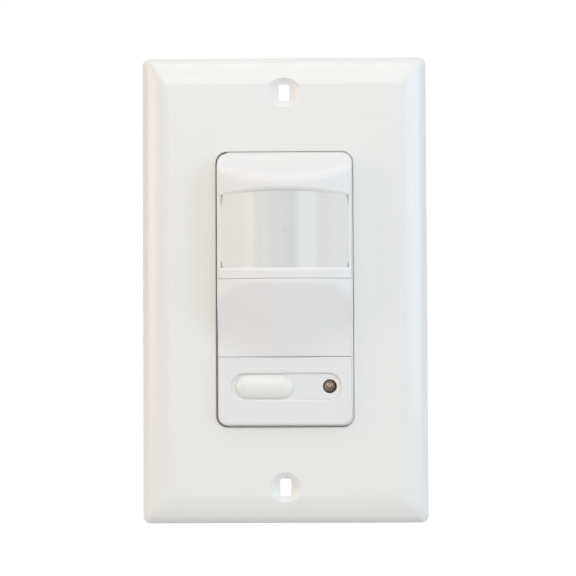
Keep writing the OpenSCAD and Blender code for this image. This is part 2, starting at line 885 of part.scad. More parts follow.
module varistor() {
    lift = power_z + varistor_r + 0.6;
    color("teal") on_wall() translate([varistor_x, low_row_y, 0]) union() {
        translate([0, 0, lift]) rotate([90, 0, 0]) cylinder(h = varistor_t, r = varistor_r, center = true);
        for (side = [-1, 1]) peg(side * varistor_r / 2, 0, power_z, lift, lead_r);
    }
}

module line_fuse() {
    lift = power_z + fuse_r + 0.4;
    color("tan") on_wall() translate([fuse_x, low_row_y, 0]) union() {
        translate([0, 0, lift]) rotate([90, 0, 0]) cylinder(h = fuse_len, r = fuse_r, center = true);
        translate([0, 0, lift]) rotate([90, 0, 0]) cylinder(h = fuse_len + 3, r = lead_r, center = true);
        for (side = [-1, 1]) peg(0, side * (fuse_len / 2 + 1), power_z, lift + lead_r / 2, lead_r);
    }
}

// Lies on the relay, between the mains parts and the control board
module insulating_sheet() {
    sheet_z = power_z + relay_depth + run_gap;
    color("gray") on_wall() slab(sheet_z, sheet_z + sheet_t) difference() {
        square([power_w, power_h], center = true);
        translate([0, header_y])
            square([(header_pins_n + 0.5) * header_pitch, 1.3 * header_base], center = true);
    }
}

// Draws its children, made for a right-hand terminal at mid height, at every terminal
module at_terminals() {
    for (t = terminals) translate([0, t[1], 0]) mirror([t[0] < 0 ? 1 : 0, 0, 0]) children();
}

module rear_housing() {
    half = pocket_w / 2;
    inner_x = pocket_wall_x - pocket_wall;
    color("dimgray") on_wall() difference() {
        union() {
            difference() {
                slab(-housing_depth, 0) rounded(housing_w, housing_h, housing_r);
                slab(housing_floor_z, cut)
                    square([housing_w - 2 * housing_wall, housing_h - 2 * housing_wall], center = true);
            }
            intersection() {
                corners(screw_x, screw_y) slab(-housing_depth, 0) circle(column_r);
                slab(-housing_depth, 0) rounded(housing_w, housing_h, housing_r);
            }
            corners(board_post_x, board_post_y)
                slab(housing_floor_z - run_gap, board_back) circle(board_post_r);
            corners(standoff_x, standoff_y)
                slab(housing_floor_z - run_gap, power_back) circle(standoff_r);
            at_terminals() block([inner_x, -half - pocket_wall, housing_floor_z - run_gap],
                [housing_w / 2 - run_gap, half + pocket_wall, terminal_z + half + pocket_wall]);
        }
        at_terminals() {
            block([pocket_wall_x, -half, terminal_z - half],
                [housing_w / 2 + cut, half, terminal_z + half]);
            side_peg(inner_x - cut, housing_w / 2, 0, terminal_z, terminal_r + 2 * run_gap);
            block([inner_x - cut, tab_from - 2 * run_gap, power_z - run_gap],
                [pocket_wall_x + cut, tab_from + tab_w + 2 * run_gap, power_z + terminal_t + 3 * run_gap]);
        }
        corners(screw_x, screw_y) {
            peg(0, 0, -housing_depth - cut, cut, screw_r + screw_gap);
            peg(0, 0, -housing_depth - cut, head_seat_z, screw_head_r + screw_gap);
        }
    }
}

module housing_screws() {
    color("silver") on_wall() corners(screw_x, screw_y) difference() {
        union() {
            peg(0, 0, head_seat_z - head_h, head_seat_z, screw_head_r);
            peg(0, 0, head_seat_z - run_gap, strap_t + bore_depth - part_gap, screw_r);
        }
        for (turn = [0, 90]) rotate(turn) slab(head_seat_z - head_h - cut, head_seat_z - head_h / 2)
            square([cross_len, cross_w], center = true);
    }
}

module terminal_plates() {
    half = terminal_plate_w / 2;
    plate_x = pocket_wall_x + run_gap;
    color("goldenrod") on_wall() at_terminals() difference() {
        union() {
            block([plate_x, -half, terminal_z - half], [plate_x + terminal_t, half, terminal_z + half]);
            block([power_w / 2 - 1, tab_from, power_z + run_gap],
                [plate_x + run_gap, tab_from + tab_w, power_z + run_gap + terminal_t]);
        }
        side_peg(plate_x - cut, plate_x + 2 * terminal_t, 0, terminal_z, terminal_r + run_gap);
    }
}

// A binding screw lying across, with its thread towards x0 and its slotted head beyond x1
module binding_screw(x0, x1) {
    difference() {
        union() {
            side_peg(x0, x1 + run_gap, 0, 0, terminal_r);
            side_peg(x1, x1 + terminal_head_t, 0, 0, terminal_head_r);
        }
        block([x1 + terminal_head_t / 2, -terminal_head_r - cut, -terminal_slot_w / 2],
            [x1 + terminal_head_t + cut, terminal_head_r + cut, terminal_slot_w / 2]);
    }
}

module terminal_screws() {
    plate_face = pocket_wall_x + run_gap + terminal_t;
    color("gold") on_wall() at_terminals() translate([0, 0, terminal_z])
        binding_screw(pocket_wall_x - pocket_wall + part_gap, plate_face + wire_gap);
}

module ground_screw() {
    leg_face = strap_t - ground_leg_x;
    color("green") on_wall() translate([0, ground_y, ground_z]) mirror([1, 0, 0])
        binding_screw(housing_w / 2 + part_gap, leg_face + wire_gap);
}

wall_plate();
mounting_strap();
front_cover();
trim_cover();
push_button();
fresnel_lens();
lens_chamber();
pir_sensor();
pir_window();
pir_collar();
motion_led();
control_board();
light_sensor();
light_sensor_sleeve();
tact_switch_body();
tact_plunger();
dip_switch_body();
dip_lever(1);  // dip_lever_1
dip_lever(2);  // dip_lever_2
dip_lever(3);  // dip_lever_3
dip_lever(4);  // dip_lever_4
trimmer_bodies();
rotor(time_x);  // time_rotor
rotor(light_level_x);  // light_level_rotor
control_chip();
board_header();
header_pins();
power_board();
relay();
film_capacitor();
storage_capacitor();
varistor();
line_fuse();
insulating_sheet();
rear_housing();
housing_screws();
terminal_plates();
terminal_screws();
ground_screw();
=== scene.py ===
from math import acos, asin, cos, pi, radians, sin, sqrt

import bpy
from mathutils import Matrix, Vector


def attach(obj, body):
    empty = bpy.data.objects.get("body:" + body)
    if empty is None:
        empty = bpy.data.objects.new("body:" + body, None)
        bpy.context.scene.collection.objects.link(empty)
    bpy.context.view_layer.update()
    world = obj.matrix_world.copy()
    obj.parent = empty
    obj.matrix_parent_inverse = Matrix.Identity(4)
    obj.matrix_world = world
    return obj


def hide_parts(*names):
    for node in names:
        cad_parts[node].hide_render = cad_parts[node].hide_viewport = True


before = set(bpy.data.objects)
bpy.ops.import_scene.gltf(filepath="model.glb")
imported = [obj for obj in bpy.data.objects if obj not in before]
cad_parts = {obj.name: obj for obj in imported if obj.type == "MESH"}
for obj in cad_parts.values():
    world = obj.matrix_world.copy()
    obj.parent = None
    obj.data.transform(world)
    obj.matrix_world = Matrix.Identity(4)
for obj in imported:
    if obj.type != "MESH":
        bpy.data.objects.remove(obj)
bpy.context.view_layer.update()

# Rear housing: the deep box behind the strap, with a pocket for each wire terminal.
# Dark grey polycarbonate, injection moulded in a spark-eroded mould, closed by four long screws.
MM = 0.001


def linear(code):
    """An sRGB hex colour as linear red, green, blue and alpha."""
    parts = [int(code[i:i + 2], 16) / 255 for i in (0, 2, 4)]
    return [c / 12.92 if c <= 0.04045 else ((c + 0.055) / 1.055) ** 2.4 for c in parts] + [1.0]


def add_node(tree, kind, inputs=None, **settings):
    """Adds a shader node with its settings, and gives its inputs their values or links."""
    made = tree.nodes.new("ShaderNode" + kind)
    for name, value in settings.items():
        setattr(made, name, value)
    for name, value in (inputs or {}).items():
        if isinstance(value, bpy.types.NodeSocket):
            tree.links.new(value, made.inputs[name])
        else:
            made.inputs[name].default_value = value
    return made


def empty_material(name):
    """A new material with no nodes, and its node tree."""
    made = bpy.data.materials.new(name)
    made.use_nodes = True
    made.node_tree.nodes.clear()
    return made, made.node_tree


def moulded(name, colour, roughness, grain, depth, cloud=14.0, mottle=0.04, spread=0.15, ior=1.5):
    """A moulded plastic: faint clouds in its colour and gloss, and the relief of its mould, sizes in mm."""
    made, tree = empty_material(name)
    place = add_node(tree, "TexCoord").outputs["Object"]
    clouds = add_node(tree, "TexNoise", {
        "Vector": place, "Scale": 1 / (cloud * MM), "Detail": 3.0}).outputs[0]
    grains = add_node(tree, "TexNoise", {
        "Vector": place, "Scale": 1 / (grain * MM), "Detail": 2.0}).outputs[0]
    pale = linear(colour)
    dark = [c * (1 - mottle) for c in pale[:3]] + [1.0]
    tint = add_node(tree, "Mix", {0: clouds, 6: dark, 7: pale}, data_type="RGBA").outputs[2]
    gloss = add_node(tree, "MapRange", {
        "Value": clouds, "To Min": roughness * (1 - spread), "To Max": roughness * (1 + spread)}).outputs[0]
    relief = add_node(tree, "Bump", {"Height": grains, "Distance": depth * MM}).outputs[0]
    shader = add_node(tree, "BsdfPrincipled", {
        "Base Color": tint, "Roughness": gloss, "IOR": ior, "Normal": relief})
    add_node(tree, "OutputMaterial", {"Surface": shader.outputs[0]})
    return made


def make_active(piece):
    """Selects one piece alone."""
    bpy.ops.object.select_all(action="DESELECT")
    piece.select_set(True)
    bpy.context.view_layer.objects.active = piece


def apply_change(piece, kind, **settings):
    """Adds a modifier with its settings to a piece, and applies it."""
    make_active(piece)
    change = piece.modifiers.new(kind.lower(), kind)
    for name, value in settings.items():
        setattr(change, name, value)
    bpy.ops.object.modifier_apply(modifier=change.name)


def merge_flats(piece, apart=0.0005, bend=0.3):
    """Merges double points, and faces in one plane, within a distance in mm and a bend in degrees."""
    make_active(piece)
    bpy.ops.object.mode_set(mode="EDIT")
    bpy.ops.mesh.select_all(action="SELECT")
    bpy.ops.mesh.remove_doubles(threshold=apart * MM)
    bpy.ops.mesh.dissolve_limited(angle_limit=radians(bend))
    bpy.ops.object.mode_set(mode="OBJECT")


def shade(piece, material, angle=35):
    """Smooths rounded edges, keeps flats flat, and gives the piece its material."""
    make_active(piece)
    bpy.ops.object.shade_smooth_by_angle(angle=radians(angle))
    apply_change(piece, "WEIGHTED_NORMAL", keep_sharp=True)
    piece.data.materials.clear()
    piece.data.materials.append(material)


def eased_copy(name, node, radius, segments=2, sharp=40):
    """A copy of a CAD node, with its sharp edges rounded as its mould or die leaves them."""
    piece = bpy.data.objects.new(name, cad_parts[node].data.copy())
    bpy.context.scene.collection.objects.link(piece)
    make_active(piece)
    bpy.ops.mesh.customdata_custom_splitnormals_clear()
    merge_flats(piece)
    apply_change(piece, "BEVEL", width=radius * MM, segments=segments, limit_method="ANGLE",
                 angle_limit=radians(sharp))
    return piece


# Spark-eroded polycarbonate: dark grey, dull, with a fine sandy relief drawn three times coarser to show
housing_grey = moulded("polycarbonate_spark_textured", "2B2C2F", 0.55, 0.6, 0.03)
housing = eased_copy("rear_housing_box", "rear_housing", 0.25, 3)
shade(housing, housing_grey)
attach(housing, "base")
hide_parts("rear_housing")

# Housing screws: four long self-tapping screws with cross recesses, seated in the housing's back.
# Steel wire, cold headed, thread rolled and zinc plated.


def plated(name, colour, roughness, line=0.35, length=9.0, stain=0.12, patch=5.0, depth=0.004, spread=0.3):
    """Bare or plated metal: fine lines from rolling or turning, and faint stains, sizes in mm."""
    made, tree = empty_material(name)
    place = add_node(tree, "TexCoord").outputs["Object"]
    drawn = add_node(tree, "Mapping", {
        "Vector": place, "Scale": (1 / (line * MM), 1 / (line * MM), 1 / (length * MM))}).outputs[0]
    lines = add_node(tree, "TexNoise", {"Vector": drawn, "Scale": 1.0, "Detail": 3.0}).outputs[0]
    stains = add_node(tree, "TexNoise", {
        "Vector": place, "Scale": 1 / (patch * MM), "Detail": 4.0}).outputs[0]
    bright = linear(colour)
    dull = [c * (1 - stain) for c in bright[:3]] + [1.0]
    tint = add_node(tree, "Mix", {0: stains, 6: dull, 7: bright}, data_type="RGBA").outputs[2]
    gloss = add_node(tree, "MapRange", {
        "Value": stains, "To Min": roughness * (1 - spread), "To Max": roughness * (1 + spread)}).outputs[0]
    relief = add_node(tree, "Bump", {"Height": lines, "Distance": depth * MM}).outputs[0]
    shader = add_node(tree, "BsdfPrincipled", {
        "Base Color": tint, "Metallic": 1.0, "Roughness": gloss, "Normal": relief})
    add_node(tree, "OutputMaterial", {"Surface": shader.outputs[0]})
    return made


# Zinc-plated steel: grey and bright, with the lines of rolling
zinc_screw = plated("zinc_plated_screw_steel", "C3C6C8", 0.32)
housing_screws = eased_copy("housing_screw_set", "housing_screws", 0.12)
shade(housing_screws, zinc_screw)
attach(housing_screws, "base")
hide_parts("housing_screws")

# Wire terminals: three plates pressed from brass strip, each with a slotted binding screw.
# The ground screw is the same screw in green-dyed zinc, and turns into the strap's bent leg.

# Brass: yellow and satin, slightly darkened in patches
bare_brass = plated("bare_brass", "D9B56A", 0.3, stain=0.25)
for name, node in (("terminal_plate_set", "terminal_plates"), ("terminal_screw_set", "terminal_screws")):
    terminal = eased_copy(name, node, 0.18, 3)
    shade(terminal, bare_brass)
    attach(terminal, "base")
    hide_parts(node)

# Green-dyed zinc: a thin clear green over bright metal
green_zinc = plated("green_dyed_zinc", "2E8B4E", 0.35)
ground_screw = eased_copy("ground_binding_screw", "ground_screw", 0.18, 3)
shade(ground_screw, green_zinc)
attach(ground_screw, "base")
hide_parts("ground_screw")

# Power board: relay, capacitors, surge part and fuse, soldered to a board on four posts.
# Glass-fibre laminate under green solder mask; the parts are moulded, sleeved, dipped or lacquered.


def dress(material, *nodes):
    """Gives CAD nodes their material."""
    for node in nodes:
        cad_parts[node].material_slots[0].material = material


# Solder mask: glossy green, paler over the copper tracks, with the weave of the glass cloth under it
solder_mask, tree = empty_material("solder_mask_on_glass_laminate")
COPPER_PITCH, COPPER_W, CLOTH_PITCH, CLOTH_RELIEF = 2.54, 0.2, 0.5, 0.004
place = add_node(tree, "TexCoord").outputs["Object"]
flat = add_node(tree, "Mapping", {"Vector": place, "Rotation": (-pi / 2, 0, 0)}).outputs[0]
tracks = add_node(tree, "TexBrick", {
    "Vector": flat, "Color1": linear("12562F"), "Color2": linear("0F4B29"), "Mortar": linear("2C8048"),
    "Scale": 1 / MM, "Mortar Size": COPPER_W, "Mortar Smooth": 0.4,
    "Brick Width": 3 * COPPER_PITCH, "Row Height": COPPER_PITCH}, offset=0.3).outputs[0]
weave = add_node(tree, "TexChecker", {"Vector": flat, "Scale": 1 / (CLOTH_PITCH * MM)}).outputs["Fac"]
relief = add_node(tree, "Bump", {"Height": weave, "Distance": CLOTH_RELIEF * MM}).outputs[0]
shader = add_node(tree, "BsdfPrincipled", {"Base Color": tracks, "Roughness": 0.25, "Normal": relief})
add_node(tree, "OutputMaterial", {"Surface": shader.outputs[0]})
dress(solder_mask, "power_board", "control_board")
# Polyester relay case and epoxy-filled box: smooth and glossy from polished moulds
dress(moulded("polyester_relay_case", "1F4FA0", 0.25, 2.5, 0.004), "relay")
dress(moulded("epoxy_filled_box", "D8A93A", 0.28, 2.5, 0.004), "film_capacitor")
# Shrunk sleeve: dark blue, glossy, faintly rippled where it shrank
dress(moulded("shrunk_vinyl_sleeve", "20264A", 0.22, 1.6, 0.02), "storage_capacitor")
# Dipped coating: blue-green, lumpy and half dull
dress(moulded("dipped_epoxy_coating", "2C6E86", 0.42, 1.2, 0.05), "varistor")
# Lacquer: tan, brushed thinly over a ceramic body
dress(moulded("lacquered_ceramic", "C2A67C", 0.4, 0.9, 0.02), "line_fuse")
# Vulcanised fibre: grey, dull, with short fibres
dress(moulded("vulcanised_fibre", "70706D", 0.7, 0.5, 0.02, mottle=0.15), "insulating_sheet")

# Control board: infrared sensor, motion light, switches, trimmers and chip that work at the front.
# Small bought parts in nylon, nickel-plated steel and clear epoxy, soldered through the board.

# Glass-filled nylon: black and dull
black_nylon = moulded("black_glass_filled_nylon", "1A1A1B", 0.5, 0.5, 0.02)
dress(black_nylon, "lens_chamber", "light_sensor_sleeve", "tact_switch_body", "tact_plunger",
      "control_chip", "board_header")
dress(bare_brass, "header_pins")
# Nickel plate: warm grey and bright
dress(plated("nickel_plated_can", "CBC8C0", 0.22), "pir_sensor")
# Coated silicon: nearly black, mirror smooth
dress(moulded("coated_silicon_filter", "232127", 0.06, 4.0, 0.001, ior=2.0), "pir_window")
# White nylon: milky and half dull
dress(moulded("white_nylon", "E4E3DE", 0.45, 0.7, 0.015), "pir_collar")
# Clear red epoxy: dark red and glossy
dress(moulded("clear_red_epoxy", "B02A22", 0.1, 3.0, 0.003), "motion_led")

# Option switch and trimmers: they show in the pocket when the trim cover is off.
# Moulded nylon housings, with four sliding levers and two slotted rotors in acetal.

# Dyed nylon: strong red and blue, half dull from a finely blasted mould
red_nylon = moulded("red_nylon", "B03328", 0.4, 0.7, 0.015)
blue_nylon = moulded("blue_nylon", "2F62A8", 0.4, 0.7, 0.015)
option_switch = eased_copy("option_switch_housing", "dip_switch_body", 0.12)
shade(option_switch, red_nylon)
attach(option_switch, "base")
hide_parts("dip_switch_body")
trimmers = eased_copy("trimmer_housings", "trimmer_bodies", 0.12)
shade(trimmers, blue_nylon)
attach(trimmers, "base")
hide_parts("trimmer_bodies")
# Acetal: white, waxy and half glossy
white_acetal = moulded("white_acetal", "ECEBE6", 0.3, 1.0, 0.006)
for name, node in [(f"option_lever_{i}", f"dip_lever_{i}") for i in (1, 2, 3, 4)] + [
        ("time_dial", "time_rotor"), ("light_level_dial", "light_level_rotor")]:
    adjuster = eased_copy(name, node, 0.12, 3)
    shade(adjuster, white_acetal)
    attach(adjuster, node)
    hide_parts(node)

# Mounting strap: the yoke that the box screws and the plate screws go through, with ears and a ground leg.
# Steel strip 1.2 mm thick, blanked and bent in a press tool, then zinc plated.

# Zinc-plated strip: grey and satin, with the long lines of the rolling mill
zinc_strip = plated("zinc_plated_strip", "BFC3C6", 0.36, line=0.5, length=18.0)
strap = eased_copy("mounting_yoke", "mounting_strap", 0.18, 3)
shade(strap, zinc_strip)
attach(strap, "base")
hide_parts("mounting_strap")

# Front cover: the insert's body, with the sloped brow, the lens frame and ledge, and the flat lower panel.
# White ABS, injection moulded with a satin face and softly rounded edges; the housing screws bite its bosses.
# Sizes are in mm from the middle of the switch; depths such as FOOT and PANEL are measured out from the wall.
HALF_W, HALF_H, CORNER = 16.2, 33.05, 2.25
FOOT, PANEL, POCKET = 1.2, 7.2, 5.0
WALL, INSIDE = 1.7, 14.5
SEAM, LEDGE = -16.55, 2.3
BULGE_R, BULGE_AXIS = 42.0, 28.0
BROW_AT, BROW_NORMAL = Vector((0, -14, 26.6)), Vector((0, -6.45, 7.4)).normalized()
WINDOW_LEFT, WINDOW_RIGHT, WINDOW_LOW, WINDOW_TOP, WINDOW_ARCH = -15.2, 15.55, 4.94, 23.35, 0.95
CONTROL_Z = -23.72
STRIP, HOOD_STRIPS, HOLLOW_STRIPS, WINDOW_STRIPS = radians(1.8), 26, 22, 20
# Cutting tools end clear of what they cut: far in front, just in front, or by a millimetre
FAR, OUT, CLEAR = 30, 9, 1
# What counts as lying on a plane, as touching a line, as pointing along an axis and as facing the front
NEAR, HAIR, ALONG, FACING = 0.1, 0.01, 0.9, 0.5


def block(name, low, high):
    """A cube primitive brought to its two corners, in mm."""
    bpy.ops.object.select_all(action="DESELECT")
    bpy.ops.mesh.primitive_cube_add(size=1)
    piece = bpy.context.object
    piece.name = name
    piece.location = [(a + b) / 2 * MM for a, b in zip(low, high)]
    piece.scale = [abs(b - a) * MM for a, b in zip(low, high)]
    bpy.ops.object.transform_apply(location=True, rotation=True, scale=True)
    return piece


def rod(name, x, z, radius, front, back, sides=48, tip=None):
    """A cylinder or cone primitive along Y, from its front depth to its back depth, in mm."""
    bpy.ops.object.select_all(action="DESELECT")
    bpy.ops.mesh.primitive_cone_add(
        vertices=sides, radius1=radius * MM, radius2=(radius if tip is None else tip) * MM,
        depth=(front - back) * MM, rotation=(pi / 2, 0, 0),
        location=(x * MM, -(front + back) / 2 * MM, z * MM))
    piece = bpy.context.object
    piece.name = name
    bpy.ops.object.transform_apply(location=True, rotation=True, scale=True)
    return piece


def pick(piece, kind, test):
    """Opens a piece for editing, and selects the faces or edges whose middle, in mm, and way pass a test."""
    make_active(piece)
    bpy.ops.object.mode_set(mode="EDIT")
    bpy.ops.mesh.select_mode(type=kind)
    bpy.ops.mesh.select_all(action="DESELECT")
    bpy.ops.object.mode_set(mode="OBJECT")
    mesh = piece.data
    if kind == "FACE":
        for face in mesh.polygons:
            face.select = test(face.center / MM, face.normal)
    else:
        for edge in mesh.edges:
            a, b = (mesh.vertices[i].co for i in edge.vertices)
            edge.select = test((a + b) / 2 / MM, (b - a).normalized())
    bpy.ops.object.mode_set(mode="EDIT")


def close():
    """Ends the editing of a piece."""
    bpy.ops.object.mode_set(mode="OBJECT")


def rounded_block(name, low, high, radius, segments=8, apart=0.02, test=lambda middle: True):
    """A block with its corners rounded, as seen from the front."""
    piece = block(name, low, high)
    pick(piece, "EDGE", lambda middle, way: abs(way.y) > ALONG and test(middle))
    bpy.ops.mesh.bevel(offset=radius * MM, segments=segments, affect="EDGES")
    bpy.ops.mesh.select_all(action="SELECT")
    bpy.ops.mesh.remove_doubles(threshold=apart * MM)
    close()
    return piece


def curved_sheet(name, radius, half_turn, steps, low, high, axis=BULGE_AXIS):
    """An upright sheet bent to a radius about an upright axis: one point drawn up to an edge, then spun."""
    bpy.ops.object.select_all(action="DESELECT")
    bpy.ops.mesh.primitive_plane_add(size=MM)
    piece = bpy.context.object
    piece.name = name
    bpy.ops.object.mode_set(mode="EDIT")
    bpy.ops.mesh.select_mode(type="VERT")
    bpy.ops.mesh.select_all(action="SELECT")
    bpy.ops.mesh.merge(type="CENTER")
    bpy.ops.transform.translate(value=(
        -radius * sin(half_turn) * MM, (axis - radius * cos(half_turn)) * MM, low * MM))
    bpy.ops.mesh.extrude_region_move(TRANSFORM_OT_translate={"value": (0, 0, (high - low) * MM)})
    bpy.ops.mesh.select_all(action="SELECT")
    bpy.ops.mesh.spin(steps=steps, angle=-2 * half_turn, center=(0, axis * MM, 0), axis=(0, 0, 1))
    close()
    return piece


def draw_back(piece, depth, flat_at=None):
    """Gives a sheet a body behind it: drawn back by a depth, or to a flat back at a given Y."""
    make_active(piece)
    bpy.ops.object.mode_set(mode="EDIT")
    bpy.ops.mesh.select_all(action="SELECT")
    bpy.ops.mesh.extrude_region_move(TRANSFORM_OT_translate={"value": (0, depth * MM, 0)})
    if flat_at is not None:
        bpy.ops.transform.resize(value=(1, 0, 1), center_override=(0, flat_at * MM, 0))
    bpy.ops.mesh.select_all(action="SELECT")
    bpy.ops.mesh.normals_make_consistent(inside=False)
    close()


def slice_off(piece, at, normal):
    """Cuts off what lies beyond a plane, and closes the cut."""
    make_active(piece)
    bpy.ops.object.mode_set(mode="EDIT")
    bpy.ops.mesh.select_all(action="SELECT")
    bpy.ops.mesh.bisect(plane_co=at * MM, plane_no=normal, use_fill=True, clear_outer=True)
    close()


def carve(piece, tool, operation="DIFFERENCE"):
    """Cuts a piece with a tool, or joins or keeps what they share, and removes the tool."""
    apply_change(piece, "BOOLEAN", operation=operation, object=tool, solver="EXACT")
    bpy.data.objects.remove(tool)


def ease(piece, radius_of, segments=4, sharp=12):
    """Rounds edges: radius_of gives the radius in mm, or 0, from an edge's middle and its faces' normals."""
    merge_flats(piece)
    mesh = piece.data
    normals = {}
    for face in mesh.polygons:
        for key in face.edge_keys:
            normals.setdefault(key, []).append(face.normal.copy())
    radii = []
    for edge in mesh.edges:
        a, b = (mesh.vertices[i].co for i in edge.vertices)
        pair = normals.get(edge.key, [])
        bent = len(pair) == 2 and pair[0].dot(pair[1]) < cos(radians(sharp))
        radii.append(radius_of((a + b) / 2 / MM, *pair) if bent else 0)
    largest = max(radii)
    weights = mesh.attributes.new("bevel_weight_edge", "FLOAT", "EDGE")
    weights.data.foreach_set("value", [r / largest for r in radii])
    apply_change(piece, "BEVEL", limit_method="WEIGHT", width=largest * MM, segments=segments,
                 use_clamp_overlap=False)
    left = piece.data.attributes.get("bevel_weight_edge")
    if left:
        piece.data.attributes.remove(left)


def fronts(*normals):
    """How many of some faces look to the front: one of two at an outer edge, both at a ridge."""
    return sum(n.y < -FACING for n in normals)


# Hood: a block with the bulge's curve, the brow sliced off, its outline rounded and its edges eased
hood = curved_sheet("front_cover_moulding", BULGE_R, HOOD_STRIPS / 2 * STRIP, HOOD_STRIPS, LEDGE, HALF_H)
draw_back(hood, FAR, -FOOT)
slice_off(hood, BROW_AT, BROW_NORMAL)
carve(hood, rounded_block("outline", (-HALF_W, -FAR, -HALF_H), (HALF_W, 0, HALF_H), CORNER), "INTERSECT")
BROW_EASE, LEDGE_EASE, HOOD_EASE = 1.6, 0.22, 0.5


def hood_radius(middle, n, m):
    if fronts(n, m) == 2:
        return BROW_EASE
    if fronts(n, m) == 1:
        return LEDGE_EASE if middle.z < LEDGE + NEAR else HOOD_EASE
    return 0


ease(hood, hood_radius, 6)
HOLLOW_R = BULGE_R - WALL
hollow = curved_sheet("hollow", HOLLOW_R, asin(INSIDE / HOLLOW_R), HOLLOW_STRIPS, LEDGE + WALL, HALF_H - WALL)
draw_back(hollow, FAR, CLEAR)
slice_off(hollow, BROW_AT - WALL * BROW_NORMAL, BROW_NORMAL)
carve(hood, hollow)

# The face is sunk between a rounded lip above and a rounded sill below, across the whole width, and the lens
# lies in it. The tool for it is a grid primitive, its points set on the sunk face and on the two roundings
SUNK_R, SUNK_FRONT, LIP_R, SILL_R, SKIM = 53.3, 13.15, 1.5, 1.0, 0.02
SUNK_W, SUNK_COLUMNS, ROUND_STEPS = 34, 30, 8
SUNK_ROWS = 2 * ROUND_STEPS + 1


def bulge_front(x):
    """How far the bulge stands out."""
    return sqrt(BULGE_R ** 2 - x ** 2) - BULGE_AXIS


def lip_line(x):
    """The height of the window's arched upper edge."""
    return WINDOW_TOP - WINDOW_ARCH * (x / WINDOW_RIGHT) ** 2


bpy.ops.object.select_all(action="DESELECT")
bpy.ops.mesh.primitive_grid_add(x_subdivisions=SUNK_COLUMNS, y_subdivisions=SUNK_ROWS, size=1)
sink = bpy.context.object
for point in sink.data.vertices:
    x, row = point.co.x * SUNK_W, round((point.co.y + 0.5) * SUNK_ROWS)
    sunk = bulge_front(x) - (sqrt(SUNK_R ** 2 - x ** 2) - SUNK_R + SUNK_FRONT)
    above = row > ROUND_STEPS
    radius = LIP_R if above else SILL_R
    foot = acos((radius - SKIM - sunk) / radius)
    angle = foot * ((SUNK_ROWS - row) if above else row) / ROUND_STEPS
    rise = radius * (sin(foot) - sin(angle))
    depth = radius - SKIM - radius * cos(angle)
    height = lip_line(x) + rise if above else WINDOW_LOW - rise
    point.co = Vector((x, depth - bulge_front(x), height)) * MM
draw_back(sink, -FAR, -FAR)
carve(hood, sink)
WINDOW_BACK, WINDOW_MARGIN = 5, 0.02


def window_block(name):
    """A block of the window's outline, arched above, with a slight margin above and below."""
    piece = block(name, (WINDOW_LEFT, -FAR, WINDOW_LOW - WINDOW_MARGIN),
                  (WINDOW_RIGHT, -WINDOW_BACK, WINDOW_TOP + WINDOW_MARGIN))
    for step in range(WINDOW_STRIPS):
        turn = (step + 0.5 - WINDOW_STRIPS / 2) * STRIP
        pick(piece, "FACE", lambda middle, way: True)
        bpy.ops.mesh.bisect(plane_co=(BULGE_R * sin(turn) * MM, 0, 0), plane_no=(1, 0, 0))
        close()
    for point in piece.data.vertices:
        if point.co.z > WINDOW_TOP * MM:
            point.co.z += (lip_line(point.co.x / MM) - WINDOW_TOP) * MM
    return piece


carve(hood, window_block("window"))
LENS_R, LENS_X, LENS_LAP, LENS_T = 40.75, 15.8, 1.2, 0.8
LENS_LOW, LENS_HIGH = WINDOW_LOW - LENS_LAP, WINDOW_TOP + LENS_LAP
GROOVE, GROOVE_PLAY = 0.05, 0.3
groove = curved_sheet("groove", LENS_R + GROOVE, asin((LENS_X + GROOVE) / (LENS_R + GROOVE)), HOLLOW_STRIPS,
                      LENS_LOW - GROOVE, LENS_HIGH + GROOVE)
draw_back(groove, LENS_T + GROOVE_PLAY)
carve(hood, groove)

# Tray: the pocket's floor, drawn out into the lower panel below the seam
TRAY_LAP, SEAM_EASE, PANEL_EASE = 0.85, 0.25, 0.6
tray = rounded_block("tray", (-HALF_W, -POCKET, -HALF_H), (HALF_W, -FOOT, LEDGE + TRAY_LAP), CORNER,
                     test=lambda middle: middle.z < 0)
pick(tray, "FACE", lambda middle, way: True)
bpy.ops.mesh.bisect(plane_co=(0, 0, SEAM * MM), plane_no=(0, 0, 1))
close()
pick(tray, "FACE", lambda middle, way: way.y < -ALONG and middle.z < SEAM)
bpy.ops.mesh.extrude_region_move(TRANSFORM_OT_translate={"value": (0, (POCKET - PANEL) * MM, 0)})
close()


def panel_radius(middle, n, m):
    if middle.y > NEAR - PANEL or fronts(n, m) != 1:
        return 0
    return SEAM_EASE if middle.z > SEAM - NEAR else PANEL_EASE


ease(tray, panel_radius)
POCKET_BACK, POCKET_LOW, POCKET_HIGH = 3.4, SEAM - 1, LEDGE - 0.05
carve(tray, block("panel_hollow", (-INSIDE, WALL - PANEL, WALL - HALF_H), (INSIDE, CLEAR, SEAM - WALL)))
carve(tray, block("pocket_hollow", (-INSIDE, -POCKET_BACK, POCKET_LOW), (INSIDE, CLEAR, POCKET_HIGH)))

# Control row: a shallow recess with the hole of the button, a well behind it, and the light sensor's hole
BUTTON_X, BUTTON_HALF, BUTTON_H, BUTTON_GAP = -4.95, 7.1, 5.95, 0.005
WELL, WELL_FRONT, WELL_BACK = 1.0, 5.6, 4.7
RECESS, RECESS_LEFT, RECESS_RIGHT, RECESS_H, RECESS_EASE = 6.6, -12.95, 13.55, 6.3, 0.5
LIGHT_X, LIGHT_HOLE, LIGHT_EASE, CONTROL_REACH = 10.86, 1.675, 0.3, 3.3


def pill(name, left, right, height, front, back, segments=12, flat=0.002):
    """A bar at the height of the button, its ends round but for a hair, in mm."""
    return rounded_block(name, (left, -front, CONTROL_Z - height / 2), (right, -back, CONTROL_Z + height / 2),
                         height / 2 - flat, segments)


